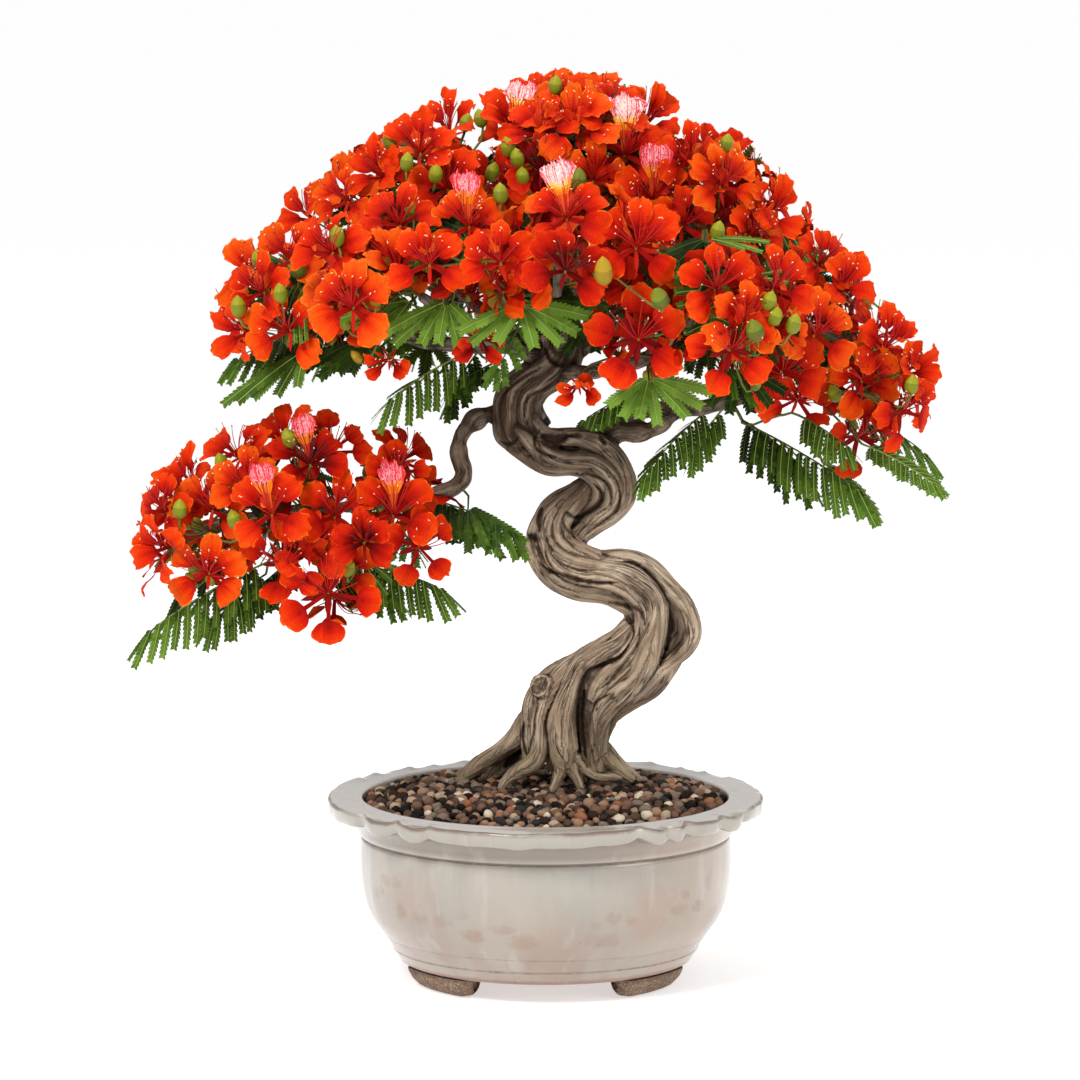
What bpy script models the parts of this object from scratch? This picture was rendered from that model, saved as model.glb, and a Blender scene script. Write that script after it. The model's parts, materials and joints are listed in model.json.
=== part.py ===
# Potted royal poinciana grown as a small, twisting tree in a round scalloped bowl.
# Metres, +Z up. X runs to the right as the tree is seen from its front, Y runs
# away from the front, and Z = 0 is the floor under the bowl's three feet. The
# bowl's axis is the Z axis.
import math
import random

import bmesh
import bpy
from mathutils import Vector, noise

# ---------------------------------------------------------------- sizes
GAP = 0.0004                      # clearance between neighbouring solids

FOOT_HEIGHT = 0.020
FOOT_SPAN = math.radians(40.0)    # angle that one foot covers at its top
FOOT_TAPER = math.radians(6.0)    # how much each end leans in at the floor
FOOT_OUTER_TOP = 0.1465
FOOT_OUTER_FLOOR = 0.1335
FOOT_INNER = 0.1180

BOWL_SEGMENTS = 48
BOWL_RADIUS = 0.187               # the straight part of the body
LIP_RADIUS = 0.2165
LIP_TOP = 0.1870
MOUTH_RADIUS = 0.1835
LOBE_DEPTH = 0.0035               # how far the lip's scallops cut in

GRAVEL_EDGE = 0.1815              # level of the gravel at the bowl's wall
GRAVEL_CROWN = 0.1905             # level of the gravel round the trunk

TRUNK_SIDES = 14
BOUGH_SIDES = 8

# Trunk line from the ground up: name, x, y, z, radius across, radius in depth.
# The trunk swings right, left, right and left again before it forks.
TRUNK_LINE = [
    ("lean",     0.0375, 0.040, 0.2880, 0.0430, 0.0420),
    ("rise_1",   0.0850, 0.030, 0.3170, 0.0400, 0.0390),
    ("bend_1",   0.1190, 0.020, 0.3610, 0.0375, 0.0370),
    ("rise_2",   0.0990, 0.020, 0.3930, 0.0330, 0.0340),
    ("rise_3",   0.0550, 0.025, 0.4070, 0.0295, 0.0320),
    ("bend_2",   0.0110, 0.030, 0.4430, 0.0320, 0.0320),
    ("rise_4",   0.0345, 0.029, 0.4685, 0.0300, 0.0300),
    ("bend_3",   0.0605, 0.020, 0.4990, 0.0275, 0.0280),
    ("rise_5",   0.0325, 0.015, 0.5300, 0.0270, 0.0265),
    ("bend_4",  -0.0230, 0.015, 0.5550, 0.0250, 0.0250),
    ("rise_6",  -0.0205, 0.015, 0.5950, 0.0245, 0.0245),
    ("rise_7",   0.0045, 0.010, 0.6215, 0.0230, 0.0230),
    ("fork",     0.0185, 0.005, 0.6490, 0.0190, 0.0190),
    ("leader_1", 0.0250, 0.009, 0.6900, 0.0135, 0.0135),
    ("leader_2", 0.0250, 0.016, 0.7400, 0.0110, 0.0110),
    ("tip",      0.0250, 0.018, 0.8200, 0.0090, 0.0090),
]
TRUNK_NODES = [
    ("trunk_lower", "lean", "bend_1", None),
    ("trunk_middle", "bend_1", "bend_2", None),
    ("trunk_waist", "bend_2", "bend_3", None),
    ("trunk_shoulder", "bend_3", "bend_4", None),
    ("trunk_top", "bend_4", "fork", None),
    ("trunk_leader", "fork", "tip", "crown_top"),
]
CREASE = 0.0015                   # least run of the trunk's skin inside a sharp bend

# Root flare: where the trunk stands, and each surface root as a bearing
# (degrees from +X), its reach from the trunk's centre and its angular width.
FLARE_CENTRE = (0.0210, 0.0450)
FLARE_RADIUS = 0.0400
FLARE_SEGMENTS = 48
ROOTS = [
    (171.0, 0.108, 0.20),
    (205.0, 0.073, 0.24),
    (252.0, 0.046, 0.26),
    (290.0, 0.047, 0.26),
    (19.0, 0.073, 0.22),
    (62.0, 0.058, 0.24),
    (98.0, 0.070, 0.22),
    (136.0, 0.076, 0.22),
]

# Boughs: name, line of (x, y, z, radius), the trunk solids it leaves, the mass it
# enters. The low left bough drops round a gap, so it is two solids, cut at its bend.
LOW_LEFT_LINE = [
    (-0.0240, 0.015, 0.5560, 0.0110), (-0.0640, 0.000, 0.5640, 0.0095),
    (-0.0850, -0.008, 0.5480, 0.0088), (-0.0850, -0.016, 0.5230, 0.0080),
    (-0.0900, -0.026, 0.5000, 0.0075), (-0.1450, -0.045, 0.4900, 0.0066),
]
BOUGHS = [
    ("bough_low_left_upper", LOW_LEFT_LINE, 0, 2, ["trunk_top", "trunk_shoulder"], None),
    ("bough_low_left_lower", LOW_LEFT_LINE, 2, 5, [], "pad_inner"),
    ("bough_right",
     [(0.0400, 0.018, 0.5300, 0.0120), (0.0700, 0.010, 0.5620, 0.0115),
      (0.1150, -0.005, 0.5760, 0.0100), (0.1650, -0.012, 0.5780, 0.0085),
      (0.2100, -0.012, 0.6000, 0.0072), (0.2500, -0.010, 0.6600, 0.0066)],
     0, 5, ["trunk_shoulder", "trunk_waist", "trunk_top"], "crown_right"),
    ("bough_left",
     [(0.0000, 0.014, 0.6120, 0.0105), (-0.0400, 0.000, 0.6410, 0.0095),
      (-0.1100, -0.010, 0.6420, 0.0080), (-0.1800, -0.010, 0.6700, 0.0068),
      (-0.2300, -0.008, 0.7000, 0.0062)],
     0, 4, ["trunk_top"], "crown_left"),
    ("bough_upper_left",
     [(0.0100, 0.008, 0.6300, 0.0100), (-0.0250, 0.018, 0.6700, 0.0090),
      (-0.0650, 0.014, 0.7050, 0.0078), (-0.1100, 0.005, 0.7800, 0.0066)],
     0, 3, ["trunk_top", "trunk_leader"], "crown_upper_left"),
    ("bough_upper_right",
     [(0.0060, 0.0085, 0.6200, 0.0100), (0.0500, -0.002, 0.6440, 0.0092),
      (0.1000, 0.000, 0.6900, 0.0078), (0.1450, 0.004, 0.7700, 0.0066)],
     0, 3, ["trunk_top", "trunk_leader"], "crown_upper_right"),
    ("bough_front",
     [(0.0120, 0.008, 0.6320, 0.0098), (0.0160, -0.0400, 0.6500, 0.0086),
      (0.0120, -0.1000, 0.6640, 0.0074), (0.0100, -0.1800, 0.7300, 0.0062)],
     0, 3, ["trunk_top", "trunk_leader"], "crown_front"),
    ("bough_front_right",
     [(0.0000, 0.011, 0.6080, 0.0092), (0.0440, -0.0340, 0.6160, 0.0082),
      (0.0900, -0.0900, 0.6300, 0.0072), (0.1500, -0.1500, 0.6800, 0.0062)],
     0, 3, ["trunk_top"], "crown_front_right"),
    ("bough_back",
     [(0.0120, 0.008, 0.6320, 0.0100), (0.0140, 0.0550, 0.6560, 0.0088),
      (0.0100, 0.1150, 0.6780, 0.0074), (0.0100, 0.1850, 0.7400, 0.0062)],
     0, 3, ["trunk_top", "trunk_leader"], "crown_back"),
]

# Masses of flower and leaf: name, centre, half sizes, lumpiness, icosphere level.
MASSES = [
    ("crown_top",          (0.030, 0.020, 0.832), (0.108, 0.135, 0.087), 0.085, 3),
    ("crown_upper_left",   (-0.124, 0.000, 0.780), (0.096, 0.130, 0.082), 0.085, 3),
    ("crown_upper_right",  (0.144, 0.000, 0.778), (0.098, 0.130, 0.078), 0.085, 3),
    ("crown_left",         (-0.244, 0.000, 0.682), (0.089, 0.140, 0.068), 0.085, 3),
    ("crown_right",        (0.238, 0.000, 0.674), (0.088, 0.140, 0.072), 0.085, 3),
    ("crown_right_tip",    (0.338, -0.005, 0.598), (0.061, 0.095, 0.084), 0.080, 2),
    ("crown_front",        (0.014, -0.190, 0.738), (0.120, 0.104, 0.076), 0.085, 3),
    ("crown_front_left",   (-0.128, -0.150, 0.705), (0.112, 0.118, 0.074), 0.085, 3),
    ("crown_front_right",  (0.142, -0.165, 0.684), (0.118, 0.115, 0.084), 0.085, 3),
    ("crown_back",         (0.014, 0.190, 0.752), (0.122, 0.104, 0.088), 0.085, 3),
    ("crown_back_left",    (-0.130, 0.155, 0.716), (0.112, 0.118, 0.082), 0.085, 3),
    ("crown_back_right",   (0.148, 0.160, 0.706), (0.118, 0.115, 0.086), 0.085, 3),
    ("pad_inner",          (-0.148, -0.045, 0.486), (0.078, 0.090, 0.072), 0.080, 2),
    ("pad_middle",         (-0.252, -0.045, 0.478), (0.088, 0.112, 0.094), 0.085, 3),
    ("pad_outer",          (-0.344, -0.040, 0.452), (0.066, 0.092, 0.070), 0.080, 2),
    ("pad_low",            (-0.218, -0.090, 0.392), (0.054, 0.058, 0.044), 0.060, 2),
]

# Thin pads of fronds that stick out past the flowers: name, root, tip, width, thickness.
FROND_PADS = [
    ("fronds_low_outer",  (-0.268, -0.060, 0.386), (-0.404, -0.100, 0.328), 0.070, 0.022),
    ("fronds_low_inner",  (-0.140, -0.060, 0.408), (-0.100, -0.110, 0.350), 0.074, 0.022),
    ("fronds_left",       (-0.215, -0.020, 0.606), (-0.312, -0.085, 0.556), 0.080, 0.022),
    ("fronds_right",      (0.236, -0.030, 0.588), (0.318, -0.090, 0.496), 0.090, 0.024),
    ("fronds_low_tip",    (-0.084, -0.050, 0.474), (-0.028, -0.072, 0.432), 0.046, 0.018),
]

COLOURS = {
    "bowl": ((0.56, 0.52, 0.47, 1.0), 0.18),
    "foot": ((0.26, 0.19, 0.15, 1.0), 0.75),
    "gravel": ((0.11, 0.07, 0.05, 1.0), 0.90),
    "bark": ((0.33, 0.25, 0.18, 1.0), 0.85),
    "flowers": ((0.78, 0.06, 0.01, 1.0), 0.55),
    "fronds": ((0.07, 0.17, 0.03, 1.0), 0.55),
}


# ---------------------------------------------------------------- helpers
def clear_scene():
    for old in list(bpy.data.objects):
        bpy.data.objects.remove(old, do_unlink=True)


def material(name, kind):
    colour, roughness = COLOURS[kind]
    mat = bpy.data.materials.new(name)
    mat.use_nodes = True
    shader = mat.node_tree.nodes["Principled BSDF"]
    shader.inputs["Base Color"].default_value = colour
    shader.inputs["Roughness"].default_value = roughness
    shader.inputs["Metallic"].default_value = 0.0
    mat.diffuse_color = colour
    return mat


def add_object(name, verts, faces, kind, smooth=True):
    mesh = bpy.data.meshes.new(name)
    mesh.from_pydata([tuple(v) for v in verts], [], faces)
    bm = bmesh.new()
    bm.from_mesh(mesh)
    bmesh.ops.recalc_face_normals(bm, faces=bm.faces)
    if bm.calc_volume(signed=True) < 0:
        bmesh.ops.reverse_faces(bm, faces=bm.faces)
    bm.to_mesh(mesh)
    bm.free()
    for poly in mesh.polygons:
        poly.use_smooth = smooth
    obj = bpy.data.objects.new(name, mesh)
    bpy.context.scene.collection.objects.link(obj)
    if kind:
        mesh.materials.append(material(name, kind))
    return obj


def hide_as_cutter(obj):
    obj.hide_render = True
    obj.display_type = "WIRE"


def skin(rings, close_start=True, close_end=True):
    """Join equal rings of points into one closed tube."""
    count = len(rings[0])
    verts = [p for ring in rings for p in ring]
    faces = []
    for k in range(len(rings) - 1):
        a, b = k * count, (k + 1) * count
        for i in range(count):
            j = (i + 1) % count
            faces.append((a + i, a + j, b + j, b + i))
    if close_start:
        faces.append(tuple(range(count - 1, -1, -1)))
    if close_end:
        last = (len(rings) - 1) * count
        faces.append(tuple(range(last, last + count)))
    return verts, faces


def lathe(profile, segments, shift=None):
    """Turn (radius, z) pairs about Z. A radius of 0 makes a pole."""
    verts, rows = [], []
    for k, (radius, z) in enumerate(profile):
        if radius == 0.0:
            rows.append([len(verts)])
            verts.append((0.0, 0.0, z))
            continue
        row = []
        for i in range(segments):
            a = 2.0 * math.pi * i / segments
            r, h = radius, z
            if shift:
                dr, dz = shift(k, a)
                r, h = r + dr, h + dz
            row.append(len(verts))
            verts.append((r * math.cos(a), r * math.sin(a), h))
        rows.append(row)
    faces = []
    for low, high in zip(rows, rows[1:]):
        for i in range(segments):
            j = (i + 1) % segments
            if len(low) == 1:
                faces.append((low[0], high[j], high[i]))
            elif len(high) == 1:
                faces.append((low[i], low[j], high[0]))
            else:
                faces.append((low[i], low[j], high[j], high[i]))
    return verts, faces


# ---------------------------------------------------------------- bowl
def lip_cut(angle):
    """How deep the lip is cut in at a bearing, 0 on a lobe and 1 in a notch.

    Each quarter has one broad lobe and, round its diagonal, a bracket of five
    short lobes, so the pattern repeats four times and mirrors in each diagonal.
    """
    quarter = math.pi / 2.0
    from_axis = abs((angle + quarter / 2.0) % quarter - quarter / 2.0)
    notches = [math.radians(v) for v in (25.8, 35.7, 41.2)]
    nearest = min(abs(from_axis - n) for n in notches)
    notch = max(0.0, 1.0 - nearest / math.radians(3.2))
    bracket = 0.35 if from_axis > notches[0] else 0.0
    return min(1.0, bracket + 0.75 * notch)


def make_bowl():
    outside = [
        (0.0, FOOT_HEIGHT), (0.1470, FOOT_HEIGHT), (0.1545, 0.0335),
        (0.1560, 0.0385), (0.1628, 0.0483), (0.1757, 0.0657),
        (0.1838, 0.0923), (BOWL_RADIUS, 0.1200), (BOWL_RADIUS, 0.1445),
        (0.1905, 0.1490), (0.2030, 0.1700),
    ]
    lip = [(LIP_RADIUS - 0.0020, 0.1755), (LIP_RADIUS, 0.1810), (LIP_RADIUS - 0.0030, LIP_TOP)]
    inside = [
        (MOUTH_RADIUS, LIP_TOP - 0.0010), (0.1780, 0.1400), (0.1650, 0.0700),
        (0.1400, 0.0320), (0.0, 0.0300),
    ]
    profile = outside + lip + inside
    first_lip = len(outside)

    def shift(k, angle):
        if k == first_lip - 1:
            return -0.5 * LOBE_DEPTH * lip_cut(angle), 0.0
        if first_lip <= k < first_lip + len(lip):
            cut = lip_cut(angle)
            return -LOBE_DEPTH * cut, (0.0016 * cut if k < first_lip + 2 else 0.0)
        return 0.0, 0.0

    verts, faces = lathe(profile, BOWL_SEGMENTS, shift)
    return add_object("bowl", verts, faces, "bowl")


def make_feet():
    steps = 6
    names = {217.0: "foot_front_left", 323.0: "foot_front_right", 90.0: "foot_back"}
    for middle, name in names.items():
        rows = []
        for z, outer, inner, half in (
                (0.0, FOOT_OUTER_FLOOR, FOOT_INNER, FOOT_SPAN / 2 - FOOT_TAPER),
                (FOOT_HEIGHT - GAP, FOOT_OUTER_TOP, FOOT_INNER - 0.006, FOOT_SPAN / 2)):
            ring = []
            for i in range(steps + 1):
                a = math.radians(middle) - half + 2 * half * i / steps
                ring.append(Vector((outer * math.cos(a), outer * math.sin(a), z)))
            for i in range(steps, -1, -1):
                a = math.radians(middle) - half + 2 * half * i / steps
                ring.append(Vector((inner * math.cos(a), inner * math.sin(a), z)))
            rows.append(ring)
        verts, faces = skin(rows, False, False)
        count = 2 * (steps + 1)
        for base in (0, count):
            for i in range(steps):
                faces.append((base + i, base + i + 1, base + count - 2 - i, base + count - 1 - i))
        add_object(name, verts, faces, "foot", smooth=False)


def make_gravel():
    wall = [(0.1400 - GAP, 0.0320 + GAP), (0.1650 - GAP, 0.0700), (0.1780 - GAP, 0.1400)]
    edge_r = 0.1780 + (MOUTH_RADIUS - 0.1780) * (GRAVEL_EDGE - 0.1400) / (LIP_TOP - 0.0010 - 0.1400)
    profile = [(0.0, 0.0300 + GAP)] + wall + [
        (edge_r - GAP, GRAVEL_EDGE), (0.158, GRAVEL_EDGE + 0.0045),
        (0.136, GRAVEL_CROWN), (0.0, GRAVEL_CROWN)]
    verts, faces = lathe(profile, 32)
    return add_object("gravel", verts, faces, "gravel", smooth=False)


# ---------------------------------------------------------------- trunk
def catmull(p0, p1, p2, p3, t):
    t2, t3 = t * t, t * t * t
    return [0.5 * (2 * b + (c - a) * t + (2 * a - 5 * b + 4 * c - d) * t2
                   + (3 * b - a - 3 * c + d) * t3)
            for a, b, c, d in zip(p0, p1, p2, p3)]


def smooth_line(points, steps):
    """Pass a smooth curve through rows of equal length numbers."""
    padded = [[2 * a - b for a, b in zip(points[0], points[1])]] + [list(p) for p in points]
    padded.append([2 * a - b for a, b in zip(points[-1], points[-2])])
    out = []
    for k in range(len(points) - 1):
        for i in range(steps):
            out.append(catmull(*padded[k:k + 4], i / steps))
    out.append(list(points[-1]))
    return out


def tangents(line):
    dirs = []
    for k in range(len(line)):
        a = Vector(line[max(0, k - 1)][:3])
        b = Vector(line[min(len(line) - 1, k + 1)][:3])
        dirs.append((b - a).normalized())
    return dirs


def ring_at(centre, tangent, across, depth, sides, phase=0.0, lobes=0.0):
    """An oval ring square to the line, with its long way in the X-Z plane."""
    side = Vector((0.0, 1.0, 0.0)).cross(tangent)
    if side.length < 1e-3:
        side = Vector((1.0, 0.0, 0.0))
    side.normalize()
    back = tangent.cross(side).normalized()
    ring = []
    for i in range(sides):
        a = 2.0 * math.pi * i / sides
        swell = 1.0 + lobes * math.cos(3.0 * a + phase)
        ring.append(centre + side * (across * swell * math.cos(a))
                    + back * (depth * swell * math.sin(a)))
    return ring


def limb_rings(rows, first, last, steps, sides, grow=0.0, trim=GAP / 2, lobes=0.0):
    """Rings of one solid cut from a limb's line, kept between its two end cuts."""
    line = smooth_line(rows, steps)
    dirs = tangents(line)
    a, b = first * steps, last * steps
    start, end = Vector(line[a][:3]) + dirs[a] * trim, Vector(line[b][:3]) - dirs[b] * trim
    rings = []
    for k in range(a, b + 1):
        centre = start if k == a else end if k == b else Vector(line[k][:3])
        across, depth = line[k][3] + grow, line[k][-1] + grow
        ring = ring_at(centre, dirs[k], across, depth, sides, phase=0.55 * k, lobes=lobes)
        for v in ring:
            if k > a:
                short = CREASE * (k - a) - (v - start).dot(dirs[a])
                if short > 0.0:
                    v += dirs[a] * short
            if k < b:
                short = CREASE * (b - k) - (end - v).dot(dirs[b])
                if short > 0.0:
                    v -= dirs[b] * short
        rings.append(ring)
    return rings


def trunk_rings(first, last, grow=0.0, trim=GAP / 2):
    names = [row[0] for row in TRUNK_LINE]
    rows = [list(row[1:]) for row in TRUNK_LINE]
    return limb_rings(rows, names.index(first), names.index(last), 2, TRUNK_SIDES,
                      grow, trim, lobes=0.05)


def make_trunk(cutters):
    for name, first, last, enters in TRUNK_NODES:
        verts, faces = skin(trunk_rings(first, last))
        piece = add_object(name, verts, faces, "bark")
        if enters:
            subtract(piece, cutters.mass(enters))


def make_trunk_base():
    """Root flare: a level cut on the gravel, spreading roots, then the lean."""
    top = TRUNK_LINE[0]
    line = smooth_line([list(row[1:]) for row in TRUNK_LINE], 2)
    lean = tangents(line)[0]
    ground = GRAVEL_CROWN + GAP
    top_centre = Vector(top[1:4]) - lean * (GAP / 2)
    levels = [0.0, 0.07, 0.16, 0.29, 0.46, 0.70, 1.0]
    rings = []
    for t in levels:
        centre = Vector((FLARE_CENTRE[0], FLARE_CENTRE[1], ground)).lerp(top_centre, t)
        spread = (1.0 - t) ** 3.6
        normal = Vector((0.0, 0.0, 1.0)).lerp(lean, t ** 1.5).normalized()
        side = Vector((0.0, 1.0, 0.0)).cross(normal).normalized()
        back = normal.cross(side).normalized()
        ring = []
        for i in range(FLARE_SEGMENTS):
            a = 2.0 * math.pi * i / FLARE_SEGMENTS
            across = FLARE_RADIUS + (top[4] - FLARE_RADIUS) * t
            depth = FLARE_RADIUS + (top[5] - FLARE_RADIUS) * t
            core = across * depth / math.hypot(depth * math.cos(a), across * math.sin(a))
            core *= 1.0 - 0.22 * spread
            reach = core
            for bearing, length, width in ROOTS:
                off = (a - math.radians(bearing) + math.pi) % (2 * math.pi) - math.pi
                reach = max(reach, core + (length - core) * spread * math.exp(-(off / width) ** 2))
                reach += 0.004 * (1 - t) * math.exp(-(off / (1.3 * width)) ** 2) * (1 - spread)
            ring.append(centre + side * (reach * math.cos(a)) + back * (reach * math.sin(a)))
        rings.append(ring)
    verts, faces = skin(rings)
    return add_object("trunk_base", verts, faces, "bark")


# ---------------------------------------------------------------- masses
def lump(direction, seed):
    """Uneven surface: a few broad swellings and finer ones on them."""
    at = Vector((seed * 7.31, seed * 3.77, seed * 1.93))
    return (noise.noise(direction * 1.7 + at) + 0.55 * noise.noise(direction * 3.9 + at)) / 0.8


def frond_pad_frame(pad):
    name, root, tip, width, thick = pad
    root, tip = Vector(root), Vector(tip)
    long_way = (tip - root).normalized()
    flat = Vector((0.0, 0.0, 1.0)).cross(long_way).normalized()
    up = long_way.cross(flat).normalized()
    return (root + tip) / 2, (long_way, flat, up), ((tip - root).length / 2, width / 2, thick / 2)


def all_masses():
    axes = (Vector((1, 0, 0)), Vector((0, 1, 0)), Vector((0, 0, 1)))
    rows = []
    for name, centre, half, rough, level in MASSES:
        rows.append((name, Vector(centre), axes, half, rough, level, "flowers"))
    for pad in FROND_PADS:
        centre, frame, half = frond_pad_frame(pad)
        rows.append((pad[0], centre, frame, half, 0.05, 2, "fronds"))
    return rows


def free_reach(row, direction, seed):
    _, _, axes, half, rough, _, _ = row
    parts = [direction.dot(ax) / h for ax, h in zip(axes, half)]
    return (1.0 + rough * lump(direction, seed)) / math.sqrt(sum(v * v for v in parts))


def support(row, direction):
    """Half size of the smooth oval along a direction."""
    _, _, axes, half, _, _, _ = row
    return math.sqrt(sum((direction.dot(ax) * h) ** 2 for ax, h in zip(axes, half)))


def walls_of(rows, k):
    """Flat walls between a mass and each neighbour that it would run into."""
    walls = []
    for j, other in enumerate(rows):
        if j == k:
            continue
        between = other[1] - rows[k][1]
        span = between.length
        if span < 1e-9:
            continue
        n = between / span
        mine, theirs = support(rows[k], n), support(other, n)
        if mine + theirs > 0.86 * span:
            walls.append((n, span * mine / (mine + theirs) - GAP))
    return walls


def mass_mesh(rows, k, grow=0.0):
    row = rows[k]
    walls = walls_of(rows, k)
    bm = bmesh.new()
    bmesh.ops.create_icosphere(bm, subdivisions=row[5], radius=1.0)
    for v in bm.verts:
        d = v.co.normalized()
        stretched = sum((ax * (d.dot(ax) * h) for ax, h in zip(row[2], row[3])), Vector())
        d = stretched.normalized()
        reach = free_reach(row, d, k + 1)
        for n, distance in walls:
            slope = n.dot(d)
            if slope > 1e-6:
                reach = min(reach, distance / slope)
        v.co = row[1] + d * (reach + grow)
    return bm


def make_masses():
    rows = all_masses()
    for k, row in enumerate(rows):
        bm = mass_mesh(rows, k)
        mesh = bpy.data.meshes.new(row[0])
        bm.to_mesh(mesh)
        bm.free()
        for poly in mesh.polygons:
            poly.use_smooth = True
        obj = bpy.data.objects.new(row[0], mesh)
        bpy.context.scene.collection.objects.link(obj)
        mesh.materials.append(material(row[0], row[6]))
    return rows


# ---------------------------------------------------------------- boughs
def subtract(obj, cutter):
    mod = obj.modifiers.new("trim", "BOOLEAN")
    mod.operation = "DIFFERENCE"
    mod.solver = "EXACT"
    mod.object = cutter


class Cutters:
    """Slightly larger copies of the trunk's solids and of the masses."""

    clearance = 0.0010

    def __init__(self, rows):
        self.rows = rows
        self.made = {}

    def trunk(self, name):
        if name not in self.made:
            first, last = [row[1:3] for row in TRUNK_NODES if row[0] == name][0]
            verts, faces = skin(trunk_rings(first, last, grow=self.clearance, trim=-self.clearance))
            self.made[name] = add_object("cut_" + name, verts, faces, None)
            hide_as_cutter(self.made[name])
        return self.made[name]

    def mass(self, name):
        if name not in self.made:
            k = [row[0] for row in self.rows].index(name)
            bm = mass_mesh(self.rows, k, grow=self.clearance)
            mesh = bpy.data.meshes.new("cut_" + name)
            bm.to_mesh(mesh)
            bm.free()
            self.made[name] = bpy.data.objects.new("cut_" + name, mesh)
            bpy.context.scene.collection.objects.link(self.made[name])
            hide_as_cutter(self.made[name])
        return self.made[name]


def make_boughs(cutters):
    for name, line, first, last, leaves, enters in BOUGHS:
        rows = [list(p) for p in line]
        verts, faces = skin(limb_rings(rows, first, last, 3, BOUGH_SIDES))
        bough = add_object(name, verts, faces, "bark")
        for host in leaves:
            subtract(bough, cutters.trunk(host))
        if enters:
            subtract(bough, cutters.mass(enters))


def main():
    random.seed(11)
    clear_scene()
    make_bowl()
    make_feet()
    make_gravel()
    cutters = Cutters(make_masses())
    make_trunk_base()
    make_trunk(cutters)
    make_boughs(cutters)


main()
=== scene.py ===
import json
import math

import bmesh
import bpy
import numpy as np
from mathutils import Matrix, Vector
from mathutils.bvhtree import BVHTree
from mathutils.kdtree import KDTree

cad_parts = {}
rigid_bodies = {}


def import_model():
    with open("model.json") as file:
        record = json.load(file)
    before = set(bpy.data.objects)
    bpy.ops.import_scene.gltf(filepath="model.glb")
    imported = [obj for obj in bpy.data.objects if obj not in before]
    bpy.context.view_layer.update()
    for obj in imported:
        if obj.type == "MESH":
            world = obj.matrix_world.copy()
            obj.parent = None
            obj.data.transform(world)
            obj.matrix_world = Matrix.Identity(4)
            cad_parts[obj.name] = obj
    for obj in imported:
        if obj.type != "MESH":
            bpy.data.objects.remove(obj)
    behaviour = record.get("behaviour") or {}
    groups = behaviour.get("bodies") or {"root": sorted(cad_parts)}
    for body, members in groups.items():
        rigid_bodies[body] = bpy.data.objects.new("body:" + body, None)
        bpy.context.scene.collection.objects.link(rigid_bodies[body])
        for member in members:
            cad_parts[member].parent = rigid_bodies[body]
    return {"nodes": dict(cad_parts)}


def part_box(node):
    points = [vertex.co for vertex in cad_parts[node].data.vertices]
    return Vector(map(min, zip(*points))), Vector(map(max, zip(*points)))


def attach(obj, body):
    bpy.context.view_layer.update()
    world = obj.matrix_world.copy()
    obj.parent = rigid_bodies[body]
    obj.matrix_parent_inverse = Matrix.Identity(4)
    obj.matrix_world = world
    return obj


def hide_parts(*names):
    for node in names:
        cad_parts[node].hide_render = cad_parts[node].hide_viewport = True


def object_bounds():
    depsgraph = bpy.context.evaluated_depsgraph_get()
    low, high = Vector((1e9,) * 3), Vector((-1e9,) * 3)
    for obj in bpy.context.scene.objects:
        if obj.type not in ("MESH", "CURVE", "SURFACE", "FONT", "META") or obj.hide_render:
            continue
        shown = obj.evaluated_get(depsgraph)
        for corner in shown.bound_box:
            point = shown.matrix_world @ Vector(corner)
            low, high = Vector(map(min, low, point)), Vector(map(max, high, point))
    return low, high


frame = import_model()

CAD_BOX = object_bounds()
ROOM = [0.03 * (b - a) + 0.010 for a, b in zip(CAD_BOX[0], CAD_BOX[1])]
RNG = np.random.default_rng(20417)
SCENE = bpy.context.scene

# ------------------------------------------------------------------ view
# The camera looks along +Y, a little down. One picture unit (of 1080) is a
# millimetre in the plane of the bowl's axis.
TILT = math.radians(7.5)
FAR = 6.0
LENS, SENSOR, FRAME = 200.0, 36.0, 1080.0
LOOK_AT = np.array([-0.0055, 0.0, 0.444])
EYE = LOOK_AT + np.array([0.0, -FAR * math.cos(TILT), FAR * math.sin(TILT)])
AHEAD = np.array([0.0, math.cos(TILT), -math.sin(TILT)])
UPWARD = np.array([0.0, math.sin(TILT), math.cos(TILT)])
PER_METRE = LENS / SENSOR * FRAME


def sight(px, py):
    """Direction from the eye through a place in the picture."""
    d = AHEAD + np.array([1.0, 0.0, 0.0]) * ((px - FRAME / 2) / PER_METRE) \
        + UPWARD * ((FRAME / 2 - py) / PER_METRE)
    return d / np.linalg.norm(d)


def at_y(px, py, y):
    """The point that shows at a place in the picture and lies in the plane Y = y."""
    d = sight(px, py)
    return EYE + d * ((y - EYE[1]) / d[1])


def at_z(px, py, z):
    d = sight(px, py)
    return EYE + d * ((z - EYE[2]) / d[2])


def make_camera():
    data = bpy.data.cameras.new("camera")
    data.lens = LENS
    data.sensor_width = SENSOR
    data.clip_start = 0.05
    data.clip_end = 150.0
    data.dof.use_dof = False
    cam = bpy.data.objects.new("camera", data)
    cam.location = EYE
    cam.rotation_euler = (math.radians(90.0) - TILT, 0.0, 0.0)
    SCENE.collection.objects.link(cam)
    SCENE.camera = cam


# ------------------------------------------------------------------ noise
def _hash(ix, iy, iz, seed):
    h = (ix.astype(np.uint32) * np.uint32(374761393)) \
        ^ (iy.astype(np.uint32) * np.uint32(668265263)) \
        ^ (iz.astype(np.uint32) * np.uint32(2246822519)) \
        ^ np.uint32((seed * 2654435761 + 97) & 0xFFFFFFFF)
    h ^= h >> np.uint32(15)
    h *= np.uint32(2246822519)
    h ^= h >> np.uint32(13)
    h *= np.uint32(3266489917)
    h ^= h >> np.uint32(16)
    return h.astype(np.float64) / 4294967295.0


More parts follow.
